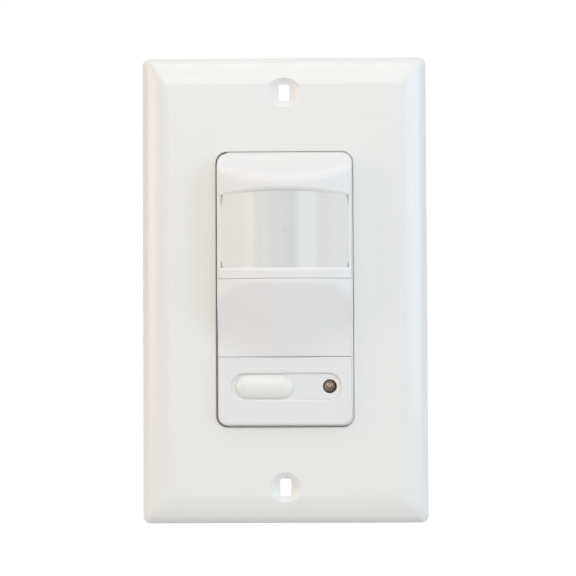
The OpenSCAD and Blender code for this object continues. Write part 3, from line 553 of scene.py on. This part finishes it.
def button_pill(name, margin, front, back):
    """A pill of the button's outline with a margin round it."""
    return pill(name, BUTTON_X - BUTTON_HALF - margin, BUTTON_X + BUTTON_HALF + margin,
                BUTTON_H + 2 * margin, front, back)


carve(tray, button_pill("well", WELL, WELL_FRONT, WELL_BACK), "UNION")
carve(tray, pill("recess", RECESS_LEFT, RECESS_RIGHT, RECESS_H, OUT, RECESS, 16))
carve(tray, button_pill("button_hole", BUTTON_GAP, OUT, CLEAR))
carve(tray, rod("light_hole", LIGHT_X, CONTROL_Z, LIGHT_HOLE, OUT, CLEAR))


def control_radius(middle, n, m):
    if fronts(n, m) != 1 or abs(middle.z - CONTROL_Z) > CONTROL_REACH:
        return 0
    if abs(middle.y + PANEL) < NEAR and abs(middle.x) < INSIDE:
        return RECESS_EASE
    if abs(middle.y + RECESS) < NEAR and middle.x > LIGHT_X - LIGHT_HOLE - NEAR:
        return LIGHT_EASE
    return 0


ease(tray, control_radius)

# Holes in the pocket's floor for the trim cover's posts, the option switch and the two dials
POST_X, POST_ZS, POST_R, POST_HOLE, POST_SIDES = 13, (-1.2, -12.6), 1.1, 1.15, 32
ADJUSTER_Z, DIAL_XS, DIAL_HOLE = -7.5, (4.5, 10.4), 2.15
OPTION_LEFT, OPTION_RIGHT, OPTION_HALF, OPTION_CORNER = -10.91, -0.25, 3.35, 0.3
for x in (-POST_X, POST_X):
    for z in POST_ZS:
        carve(tray, rod("post_hole", x, z, POST_HOLE, OUT, CLEAR, POST_SIDES))
carve(tray, rounded_block("option_hole", (OPTION_LEFT, -OUT, ADJUSTER_Z - OPTION_HALF),
                          (OPTION_RIGHT, -CLEAR, ADJUSTER_Z + OPTION_HALF), OPTION_CORNER, 3))
for x in DIAL_XS:
    carve(tray, rod("dial_hole", x, ADJUSTER_Z, DIAL_HOLE, OUT, CLEAR))

# Hood and tray are one moulding, with a boss for each housing screw that ends just short of the foot
cover = hood
carve(cover, tray, "UNION")
BOSS_X, BOSS_Z, BOSS_R, BOSS_FRONT, BOSS_SHORT = 12.6, 29.6, 2.35, 6, 0.06
BORE_R, BORE_FRONT = 1.35, 5.5
for x in (-BOSS_X, BOSS_X):
    for z in (-BOSS_Z, BOSS_Z):
        carve(cover, rod("boss", x, z, BOSS_R, BOSS_FRONT, FOOT + BOSS_SHORT), "UNION")
        carve(cover, rod("bore", x, z, BORE_R, BORE_FRONT, 0))
# A shoulder fills most of the gap to the plate's opening above, below and to the right; the left gap is deep
SHOULDER, SHOULDER_GROW, SHOULDER_LEFT, SHOULDER_T, SHOULDER_BACK = 5.2, 0.46, 0.3, 1, 1.4
SHOULDER_LOW, SHOULDER_RIGHT, RIGHT_SHORT = 4.6, 5.45, 5
shoulder = rounded_block("shoulder", (SHOULDER_LEFT - HALF_W, -SHOULDER, -HALF_H - SHOULDER_GROW),
                         (HALF_W + SHOULDER_GROW, -SHOULDER_BACK, HALF_H + SHOULDER_GROW),
                         CORNER + SHOULDER_GROW)
carve(shoulder, block("shoulder_hollow", (SHOULDER_T - HALF_W, -OUT, SHOULDER_T - HALF_H),
                      (HALF_W - SHOULDER_T, CLEAR, HALF_H - SHOULDER_T)))
carve(cover, shoulder, "UNION")
carve(cover, block("right_shoulder", (HALF_W + HAIR, -SHOULDER_RIGHT, RIGHT_SHORT - HALF_H),
                   (HALF_W + SHOULDER_GROW - HAIR, NEAR - SHOULDER_BACK, HALF_H - RIGHT_SHORT)), "UNION")
carve(cover, block("lower_gap", (-HALF_W - CLEAR, -OUT, -HALF_H - CLEAR),
                   (HALF_W + CLEAR, -SHOULDER_LOW, -HALF_H)))
# Satin ABS: warm white with a trace of pink, a broad soft sheen and a hardly visible fine grain
satin_abs = moulded("satin_white_abs", "E7E6E3", 0.34, 0.8, 0.004, mottle=0.015)
merge_flats(cover)
shade(cover, satin_abs)
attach(cover, "base")
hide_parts("front_cover")

# Lens: the curved window that gathers heat rays on the sensor, in upright bands of fine grooves.
# Milky polyethylene sheet, moulded with a raised pane that fills the window; its edge snaps into the cover.
LENS_STRIPS, PANE_STRIPS, PANE_T = 26, 34, 1.4
lens = curved_sheet("lens_sheet", LENS_R, asin(LENS_X / LENS_R), LENS_STRIPS, LENS_LOW, LENS_HIGH)
draw_back(lens, LENS_T)
pane = curved_sheet("pane", SUNK_R, asin(HALF_W / SUNK_R), PANE_STRIPS, LENS_LOW, LENS_HIGH,
                    SUNK_R - SUNK_FRONT)
draw_back(pane, PANE_T)
carve(pane, window_block("pane_outline"), "INTERSECT")
# The pane's corners are clipped: width and height of each clip, upper and lower, and how deep the clips reach
CLIP_W, CLIP_TOP, CLIP_LOW, CLIP_BACK = 0.55, 2.6, 1.7, 10.35
for x, way in ((WINDOW_LEFT, -1), (WINDOW_RIGHT, 1)):
    for z, rise, up in ((lip_line(x), CLIP_TOP, 1), (WINDOW_LOW, CLIP_LOW, -1)):
        clip = block("clip", (x - CLEAR, -FAR, z - rise), (x + CLEAR, -CLIP_BACK, z + rise))
        slice_off(clip, Vector((x, 0, z - up * rise)), Vector((-way * rise, 0, -up * CLIP_W)).normalized())
        carve(pane, clip)
carve(lens, pane, "UNION")
# Milky polyethylene: waxy and half dull; the light and shade that its bands of grooves throw are painted into
# its colour as upright bands, each its own grey. The grooves are 0.3 mm apart on the real sheet, and drawn at
# 1.8 mm so that they show; the sensor behind is painted as a faint shade
milky_sheet, tree = empty_material("milky_grooved_polyethylene")
# Painted light and shade: each upright band's grey, with soft steps between the bands
PAINTED_LIGHT_BANDS = [(-15.4, "E1DFD8"), (-10.0, "E5E4DD"), (-7.0, "DADAD5"), (-3.3, "D5D6D4"), (0.0, "D2D4D2"),
         (3.1, "E2E3DF"), (8.1, "DADAD4"), (10.8, "DEDDD7")]
BAND_SOFT = 0.8
place = add_node(tree, "TexCoord").outputs["Object"]
across = add_node(tree, "SeparateXYZ", {0: place})
share = add_node(tree, "MapRange", {
    "Value": across.outputs["X"], "From Min": -LENS_X * MM, "From Max": LENS_X * MM}).outputs[0]
bands = add_node(tree, "ValToRGB", {"Fac": share})
stops = bands.color_ramp.elements
stops[0].color = linear(PAINTED_LIGHT_BANDS[0][1])
stops[1].color = linear(PAINTED_LIGHT_BANDS[-1][1])
for (x, colour), (_, before) in zip(PAINTED_LIGHT_BANDS[1:], PAINTED_LIGHT_BANDS):
    for edge, shown in ((x - BAND_SOFT, before), (x + BAND_SOFT, colour)):
        stop = stops.new((edge + LENS_X) / (2 * LENS_X))
        stop.color = linear(shown)
# Painted shade: the lens darkened softly where the sensor lies behind it
SPOT_X, SPOT_Z, SPOT_R, SPOT_SHADE = 0.2, 13.9, 1.1, 0.96
spot_at = Vector((SPOT_X, -SUNK_FRONT, SPOT_Z)) * MM
away = add_node(tree, "VectorMath", {0: place, 1: spot_at}, operation="DISTANCE").outputs["Value"]
spot = add_node(tree, "MapRange", {
    "Value": away, "From Max": SPOT_R * MM, "To Min": SPOT_SHADE, "To Max": 1.0},
    interpolation_type="SMOOTHSTEP").outputs[0]
tint = add_node(tree, "Mix", {0: 1.0, 6: bands.outputs[0], 7: spot}, data_type="RGBA",
                blend_type="MULTIPLY").outputs[2]
# The wave node goes through 20 radians for each unit of its scale
LENS_PITCH, LENS_RELIEF, WAVE_RADIANS = 1.8, 0.003, 20
grooves = add_node(tree, "TexWave", {
    "Vector": place, "Scale": 2 * pi / (WAVE_RADIANS * LENS_PITCH * MM), "Distortion": 0.0},
    bands_direction="X").outputs["Fac"]
relief = add_node(tree, "Bump", {"Height": grooves, "Distance": LENS_RELIEF * MM}).outputs[0]
shader = add_node(tree, "BsdfPrincipled", {
    "Base Color": tint, "Roughness": 0.38, "IOR": 1.51, "Normal": relief})
add_node(tree, "OutputMaterial", {"Surface": shader.outputs[0]})
shade(lens, milky_sheet)
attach(lens, "base")
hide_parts("fresnel_lens")

# Push button: the long cream pill that switches by hand, with a lip behind the panel and a nub on the switch.
# Cream ABS, moulded with a domed satin face; it floats in its hole on the switch's spring.
LIP, LIP_BACK, LIP_FRONT = 0.52, 3.75, 4.55
DOME_RISE, DOME_STEPS, DOME_SHARE = 1.5, 10, 0.97
NUB_R, NUB_FRONT, NUB_BACK = 1.3, 4.2, 3.6
button = button_pill("push_button_cap", LIP, LIP_FRONT, LIP_BACK)
merge_flats(button)
pick(button, "FACE", lambda middle, way: way.y < -ALONG)
bpy.ops.mesh.inset(thickness=LIP * MM)
bpy.ops.mesh.extrude_region_move(TRANSFORM_OT_translate={"value": (0, (LIP_FRONT - RECESS) * MM, 0)})
radius, height = BUTTON_H / 2, 0.0
dome_r = (radius ** 2 + DOME_RISE ** 2) / (2 * DOME_RISE)
turn = asin(radius / dome_r)
for step in range(1, DOME_STEPS + 1):
    angle = turn * (1 - DOME_SHARE * step / DOME_STEPS)
    inward, up = dome_r * sin(angle), dome_r * cos(angle) - dome_r + DOME_RISE
    bpy.ops.mesh.inset(thickness=(radius - inward) * MM)
    bpy.ops.transform.translate(value=(0, (height - up) * MM, 0))
    radius, height = inward, up
close()
carve(button, rod("nub", BUTTON_X, CONTROL_Z, NUB_R, NUB_FRONT, NUB_BACK), "UNION")
# Cream ABS: a little yellower than the cover, with the same soft sheen
cream_abs = moulded("satin_cream_abs", "EAEAE3", 0.3, 0.8, 0.004, mottle=0.012)
shade(button, cream_abs, 50)
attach(button, "push_button")
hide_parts("push_button")

# Light sensor: the small round cell behind the hole beside the button.
# A ceramic disc in clear resin, with a pale winding track on its face; its legs are soldered to the board.
CELL_R, CELL_BACK, CELL_FACE, CELL_EDGE = 1.45, 1.0, 5.82, 0.25
cell = rod("light_cell_disc", LIGHT_X, CONTROL_Z, CELL_R, CELL_FACE, CELL_BACK)
pick(cell, "EDGE", lambda middle, way: middle.y < HAIR - CELL_FACE)
bpy.ops.mesh.bevel(offset=CELL_EDGE * MM, segments=4, affect="EDGES")
close()
# Resin over dark ceramic: brown-grey and glossy, with painted shade darker below and to the right, where the
# rim of its hole shades it
cell_resin, tree = empty_material("resin_over_dark_ceramic")
SHADE_WAY, SHADE_REACH, SPECK, SPECK_RELIEF = (0.7, 0, -0.7), 1.2, 0.5, 0.01
place = add_node(tree, "TexCoord").outputs["Object"]
centred = add_node(tree, "Mapping", {
    "Vector": place, "Location": (-LIGHT_X * MM, 0, -CONTROL_Z * MM)}).outputs[0]
# Painted shade: the shadow of the hole's rim, darker below and to the right
lean = add_node(tree, "VectorMath", {0: centred, 1: SHADE_WAY}, operation="DOT_PRODUCT").outputs["Value"]
painted_shade = add_node(tree, "MapRange", {
    "Value": lean, "From Min": -SHADE_REACH * MM, "From Max": SHADE_REACH * MM},
    interpolation_type="SMOOTHSTEP").outputs[0]
tint = add_node(tree, "Mix", {0: painted_shade, 6: linear("86725F"), 7: linear("3E3731")}, data_type="RGBA").outputs[2]
specks = add_node(tree, "TexNoise", {"Vector": place, "Scale": 1 / (SPECK * MM), "Detail": 2.0}).outputs[0]
relief = add_node(tree, "Bump", {"Height": specks, "Distance": SPECK_RELIEF * MM}).outputs[0]
shader = add_node(tree, "BsdfPrincipled", {
    "Base Color": tint, "Roughness": 0.2, "IOR": 1.54, "Normal": relief})
add_node(tree, "OutputMaterial", {"Surface": shader.outputs[0]})
shade(cell, cell_resin)
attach(cell, "base")
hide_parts("light_sensor")
# The track is drawn out edge by edge along its turns, given from the cell's middle
TRACK_W, TRACK_T = 0.16, 0.06
TRACK = [(-0.62, 0.2), (-0.62, 0.6), (-0.2, 0.6), (-0.2, 0.0),
         (0.2, 0.0), (0.2, 0.6), (0.62, 0.6), (0.62, 0.1)]
bpy.ops.object.select_all(action="DESELECT")
bpy.ops.mesh.primitive_plane_add(size=TRACK_W * MM, rotation=(pi / 2, 0, 0))
track = bpy.context.object
track.name = "light_cell_track"
bpy.ops.object.transform_apply(location=True, rotation=True, scale=True)
start = Vector((LIGHT_X + TRACK[0][0], -CELL_FACE - TRACK_T, CONTROL_Z + TRACK[0][1])) * MM
for point in track.data.vertices:
    point.co += start
for (x0, z0), (x1, z1) in zip(TRACK, TRACK[1:]):
    way_x, way_z = (x1 > x0) - (x1 < x0), (z1 > z0) - (z1 < z0)
    tip_x, tip_z = LIGHT_X + x0 + way_x * TRACK_W / 2, CONTROL_Z + z0 + way_z * TRACK_W / 2
    pick(track, "EDGE", lambda middle, way: abs(middle.x - tip_x) < HAIR and abs(middle.z - tip_z) < HAIR)
    bend = Vector((way_x, 0, way_z)) * TRACK_W
    for reach in (Vector((x1 - x0, 0, z1 - z0)) - bend, bend):
        bpy.ops.mesh.extrude_region_move(TRANSFORM_OT_translate={"value": reach * MM})
    close()
draw_back(track, TRACK_T)
# Light-sensitive sulphide: beige and dull, fired onto the ceramic
fired_sulphide = moulded("fired_beige_sulphide", "D2BFA5", 0.5, 0.3, 0.01)
shade(track, fired_sulphide)
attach(track, "base")

# Trim cover: the sloped panel between the ledge and the seam, which pulls off to reach the adjusters.
# The same satin ABS; its faintly curved slope runs into the bulge in a soft line and levels out at its low
# corners. Four posts hold it by friction.
TRIM_LOW, TRIM_HIGH, TRIM_BACK, TRIM_WALL = SEAM + 0.06, LEDGE - 0.03, 5.2, 1.4
TRIM_EDGE, EDGE_STEPS, TRIM_COLUMNS, TRIM_ROWS = 0.25, 5, 44, 30
CHIN_TOP, CHIN_RISE, CHIN_SAG, SAG_EASE, SOFT_LINE = LEDGE - 0.9, 6.8, 3.1, 1.8, 0.2
CORNER_DROP, CORNER_SOFT = 0.4, 1.4


def soften(a, b, reach):
    """How much a soft line rounds off where two heights cross."""
    return max(reach - abs(a - b), 0) ** 2 / reach / 4


def trim_front(x, z):
    """How far the face stands out: its slope, level at the low corners, or the bulge where that is lower."""
    bulge = bulge_front(x)
    climb = (z - SEAM) / (CHIN_TOP - SEAM)
    side = (x / HALF_W) ** 2
    chin = PANEL + CHIN_RISE * climb - CHIN_SAG * side + SAG_EASE * climb * side ** 3
    corner = PANEL - CORNER_DROP
    chin = max(chin, corner) + soften(chin, corner, CORNER_SOFT)
    return min(bulge, chin) - soften(bulge, chin, SOFT_LINE)


def trim_solid(name, half_w, low, high, inset, edge):
    """A panel under the trim's face with a rounded edge, from a grid primitive whose points are set on it."""
    def lines(start, end, count):
        rim = [edge * (1 - cos(radians(90 * i / EDGE_STEPS))) for i in range(EDGE_STEPS)] if edge else []
        inner = [start + edge + (end - start - 2 * edge) * i / count for i in range(count + 1)]
        return [start + r for r in rim] + inner + [end - r for r in reversed(rim)]

    def rim_drop(value, start, end):
        gap = min(value - start, end - value)
        return 0 if gap >= edge else edge - sqrt(max(edge ** 2 - (edge - gap) ** 2, 0))

    xs, zs = lines(-half_w, half_w, TRIM_COLUMNS), lines(low, high, TRIM_ROWS)
    bpy.ops.object.select_all(action="DESELECT")
    bpy.ops.mesh.primitive_grid_add(x_subdivisions=len(xs) - 1, y_subdivisions=len(zs) - 1, size=1)
    piece = bpy.context.object
    piece.name = name
    for point in piece.data.vertices:
        x = xs[round((point.co.x + 0.5) * (len(xs) - 1))]
        z = zs[round((point.co.y + 0.5) * (len(zs) - 1))]
        drop = rim_drop(x, -half_w, half_w) + rim_drop(z, low, high)
        point.co = Vector((x, drop + inset - trim_front(x, z), z)) * MM
    draw_back(piece, FAR, -TRIM_BACK + (CLEAR if inset else 0))
    return piece


HOLLOW_LOW, HOLLOW_HIGH, POST_BACK = TRIM_LOW + TRIM_WALL, TRIM_HIGH + 1.3, 3.6
trim = trim_solid("trim_cover_panel", HALF_W, TRIM_LOW, TRIM_HIGH, 0, TRIM_EDGE)
carve(trim, trim_solid("trim_hollow", HALF_W - TRIM_WALL, HOLLOW_LOW, HOLLOW_HIGH, TRIM_WALL, 0))
posts = [rod("friction_post", x, z, POST_R, trim_front(POST_X, z) - TRIM_WALL / 2, POST_BACK, POST_SIDES)
         for x in (-POST_X, POST_X) for z in POST_ZS]
bpy.ops.object.select_all(action="DESELECT")
for post in posts:
    post.select_set(True)
bpy.context.view_layer.objects.active = posts[0]
bpy.ops.object.join()
carve(trim, posts[0], "UNION")
shade(trim, satin_abs)
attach(trim, "trim_cover")
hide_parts("trim_cover")

# Wall plate: the one-gang frame round the insert, with two countersunk slots for its screws.
# Glossy white polycarbonate, moulded as a hollow shell with a bevelled edge; it rests on the strap and wall.
PLATE_HALF_W, PLATE_HALF_H, PLATE_T, PLATE_RIM, PLATE_CORNER = 34.925, 57.15, 5.6, 1.7, 1.7
BAND_W, BAND_TOP, BAND_BOW, BAND_STEPS = 1.7, 3.57, 0.14, 6
BEVEL_W, BEVEL_BOW, BEVEL_STEPS = 7.2, 0.34, 14
SHELL, INNER_RIM, INNER_BEVEL, INNER_STEPS = 2.2, 0.5, 6.2, 10
plate = rounded_block("wall_plate_shell", (-PLATE_HALF_W, -PLATE_RIM, -PLATE_HALF_H),
                      (PLATE_HALF_W, 0, PLATE_HALF_H), PLATE_CORNER)


def bowed(start, end, bow, steps):
    """A profile's steps from one point to another, in and out in mm, with a bow outwards at the middle."""
    shares = [i / steps for i in range(1, steps + 1)]
    return [(start[0] + (end[0] - start[0]) * t,
             start[1] + (end[1] - start[1]) * t + 4 * bow * t * (1 - t)) for t in shares]


def draw_out(half_w, half_h, start, profile):
    """Draws the selected face out along a profile, narrowing it as a mould does."""
    w, h, depth = half_w, half_h, start
    for inward, out in profile:
        new_w, new_h = half_w - inward, half_h - inward
        bpy.ops.mesh.extrude_region_move(TRANSFORM_OT_translate={"value": (0, (depth - out) * MM, 0)})
        bpy.ops.transform.resize(value=(new_w / w, 1, new_h / h))
        w, h, depth = new_w, new_h, out


# Outside, a steep narrow band and then a bevel that meets the flat in a line; inside, a plain rounded hollow
band = bowed((0, PLATE_RIM), (BAND_W, BAND_TOP), BAND_BOW, BAND_STEPS)
bevel = bowed((BAND_W, BAND_TOP), (BEVEL_W, PLATE_T), BEVEL_BOW, BEVEL_STEPS)
pick(plate, "FACE", lambda middle, way: way.y < -ALONG)
draw_out(PLATE_HALF_W, PLATE_HALF_H, PLATE_RIM, band + bevel)
close()
pick(plate, "FACE", lambda middle, way: way.y > ALONG)
inner_w, inner_h = PLATE_HALF_W - SHELL, PLATE_HALF_H - SHELL
bpy.ops.mesh.extrude_region_move(TRANSFORM_OT_translate={"value": (0, 0, 0)})
bpy.ops.transform.resize(value=(inner_w / PLATE_HALF_W, 1, inner_h / PLATE_HALF_H))
bpy.ops.mesh.extrude_region_move(TRANSFORM_OT_translate={"value": (0, -INNER_RIM * MM, 0)})
INNER_RISE = PLATE_T - SHELL - INNER_RIM
turns = [radians(90 * step / INNER_STEPS) for step in range(1, INNER_STEPS + 1)]
draw_out(inner_w, inner_h, INNER_RIM, [
    (INNER_BEVEL * (1 - cos(a)), INNER_RIM + INNER_RISE * sin(a)) for a in turns])
close()
# A rib round the opening and a pad behind each screw slot stiffen the shell
OPEN_W, OPEN_H, OPEN_R, OPEN_EASE = 16.75, 33.6, 2.8, 0.3
RIB, RIB_TOP, RIB_BACK = 1.6, 4.5, 1.6
PAD_W, PAD_H, PAD_BACK = 7, 4.5, 1.2
SLOT_Z, SLOT_W, SLOT_H, SLOT_CORNER = 48.4, 1.3, 2.25, 0.5
SINK_R, SINK_DEPTH, SINK_TIP, SINK_SIDES, SINK_EASE = 3.9, 1.55, 2.05, 64, 0.15
carve(plate, rounded_block("rib", (-OPEN_W - RIB, -RIB_TOP, -OPEN_H - RIB),
                           (OPEN_W + RIB, -RIB_BACK, OPEN_H + RIB), OPEN_R + RIB), "UNION")
for z in (-SLOT_Z, SLOT_Z):
    carve(plate, block("pad", (-PAD_W, -RIB_TOP, z - PAD_H), (PAD_W, -PAD_BACK, z + PAD_H)), "UNION")
carve(plate, rounded_block("opening", (-OPEN_W, -OUT, -OPEN_H), (OPEN_W, CLEAR, OPEN_H), OPEN_R))
flare = (SINK_R - SINK_TIP) / SINK_DEPTH * CLEAR
for z in (-SLOT_Z, SLOT_Z):
    carve(plate, rounded_block("slot", (-SLOT_W, -OUT, z - SLOT_H), (SLOT_W, CLEAR, z + SLOT_H),
                               SLOT_CORNER, 4))
    carve(plate, rod("sink", 0, z, SINK_TIP, PLATE_T + CLEAR, PLATE_T - SINK_DEPTH, SINK_SIDES,
                     SINK_R + flare))


def plate_radius(middle, n, m):
    if abs(middle.y + PLATE_T) > HAIR or fronts(n, m) != 1:
        return 0
    return OPEN_EASE if abs(middle.z) < OPEN_H + CLEAR else SINK_EASE


ease(plate, plate_radius)
# Glossy polycarbonate: clean white, with the slow ripple of a polished moulding in its reflections
gloss_white = moulded("glossy_white_polycarbonate", "E9E9E4", 0.22, 9.0, 0.006, mottle=0.012)
shade(plate, gloss_white)
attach(plate, "base")
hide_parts("wall_plate")

# Studio: a pale floor under the plate's lower edge, a white surround, six soft lights and the camera.
# The floor and the surround are white to the eye and in reflections, and dimmer as lights.
FLOOR_Z, FLOOR_SIZE, FLOOR_GLOW, AMBIENT, WHITE = -57.3, 6.0, 0.97, 0.28, linear("FFFFFF")


def sight(tree):
    """What meets the eye straight, and what meets it in gloss or through glass, as two factors."""
    path = add_node(tree, "LightPath").outputs
    mirrored = add_node(tree, "Math", {0: path["Is Glossy Ray"], 1: path["Is Transmission Ray"]},
                        operation="ADD", use_clamp=True).outputs[0]
    return path["Is Camera Ray"], mirrored


bpy.ops.object.select_all(action="DESELECT")
bpy.ops.mesh.primitive_plane_add(size=FLOOR_SIZE, location=(0, 0, FLOOR_Z * MM))
floor = bpy.context.object
floor.name = "studio_floor"
# Floor paper: pale and dull; it keeps the object's shadow
floor_paper, tree = empty_material("pale_floor_paper")
straight, mirrored = sight(tree)
strength = add_node(tree, "Math", {0: straight, 1: FLOOR_GLOW, 2: mirrored},
                    operation="MULTIPLY_ADD", use_clamp=True).outputs[0]
shown = add_node(tree, "Mix", {0: straight, 6: linear("E4E4E4"), 7: linear("6E6E6E")},
                 data_type="RGBA").outputs[2]
paper = add_node(tree, "BsdfDiffuse", {"Color": shown})
glow = add_node(tree, "Emission", {"Color": WHITE, "Strength": strength})
both = add_node(tree, "AddShader", {0: paper.outputs[0], 1: glow.outputs[0]})
add_node(tree, "OutputMaterial", {"Surface": both.outputs[0]})
floor.data.materials.append(floor_paper)

surround = bpy.data.worlds.new("white_surround")
bpy.context.scene.world = surround
surround.use_nodes = True
tree = surround.node_tree
tree.nodes.clear()
straight, mirrored = sight(tree)
share = add_node(tree, "Math", {0: mirrored, 1: straight}, operation="ADD", use_clamp=True).outputs[0]
dim = add_node(tree, "Background", {"Color": WHITE, "Strength": AMBIENT})
white = add_node(tree, "Background", {"Color": WHITE, "Strength": 1.0})
mix = add_node(tree, "MixShader", {0: share, 1: dim.outputs[0], 2: white.outputs[0]})
add_node(tree, "OutputWorld", {"Surface": mix.outputs[0]})


def softbox(name, azimuth, elevation, distance, width, height, radiance, colour):
    """A soft light aimed at the object, at an azimuth to the right of the camera, with an even radiance."""
    light = bpy.data.lights.new(name, "AREA")
    light.shape = "RECTANGLE"
    light.size, light.size_y = width, height
    light.energy = radiance * pi * width * height
    light.color = linear(colour)[:3]
    lamp = bpy.data.objects.new(name, light)
    bpy.context.scene.collection.objects.link(lamp)
    level = cos(radians(elevation))
    lamp.location = Vector((level * sin(radians(azimuth)), -level * cos(radians(azimuth)),
                            sin(radians(elevation)))) * distance
    lamp.rotation_euler = (-lamp.location).to_track_quat("-Z", "Y").to_euler()


softbox("top_softbox", 0, 36, 1.0, 1.1, 0.62, 1.7, "FFFFFF")
softbox("overhead_softbox", 0, 76, 1.0, 0.8, 0.6, 1.5, "FFFFFF")
softbox("front_softbox", 4, 6, 1.0, 0.9, 0.6, 0.34, "FFFFFF")
softbox("right_softbox", 58, 8, 1.0, 0.6, 0.9, 2.6, "D0E5FF")
softbox("left_softbox", -70, 6, 1.0, 0.5, 0.9, 2.7, "FFE1D1")
softbox("rear_softbox", 180, 24, 1.2, 1.2, 0.8, 0.9, "FFFFFF")

# The camera's place in mm, its turns in degrees, and its lens and sensor width in mm, fitted to the photo
CAMERA_AT, CAMERA_TURNS = (6.1, -400.4, -13.5), (91.99, 0.275, 0.777)
CAMERA_LENS, CAMERA_SENSOR = 101.4, 36.0
camera = bpy.data.objects.new("camera", bpy.data.cameras.new("camera"))
bpy.context.scene.collection.objects.link(camera)
camera.location = Vector(CAMERA_AT) * MM
camera.rotation_euler = [radians(a) for a in CAMERA_TURNS]
camera.data.sensor_width = CAMERA_SENSOR
camera.data.lens = CAMERA_LENS
bpy.context.scene.camera = camera
bpy.context.scene.view_settings.view_transform = "Standard"
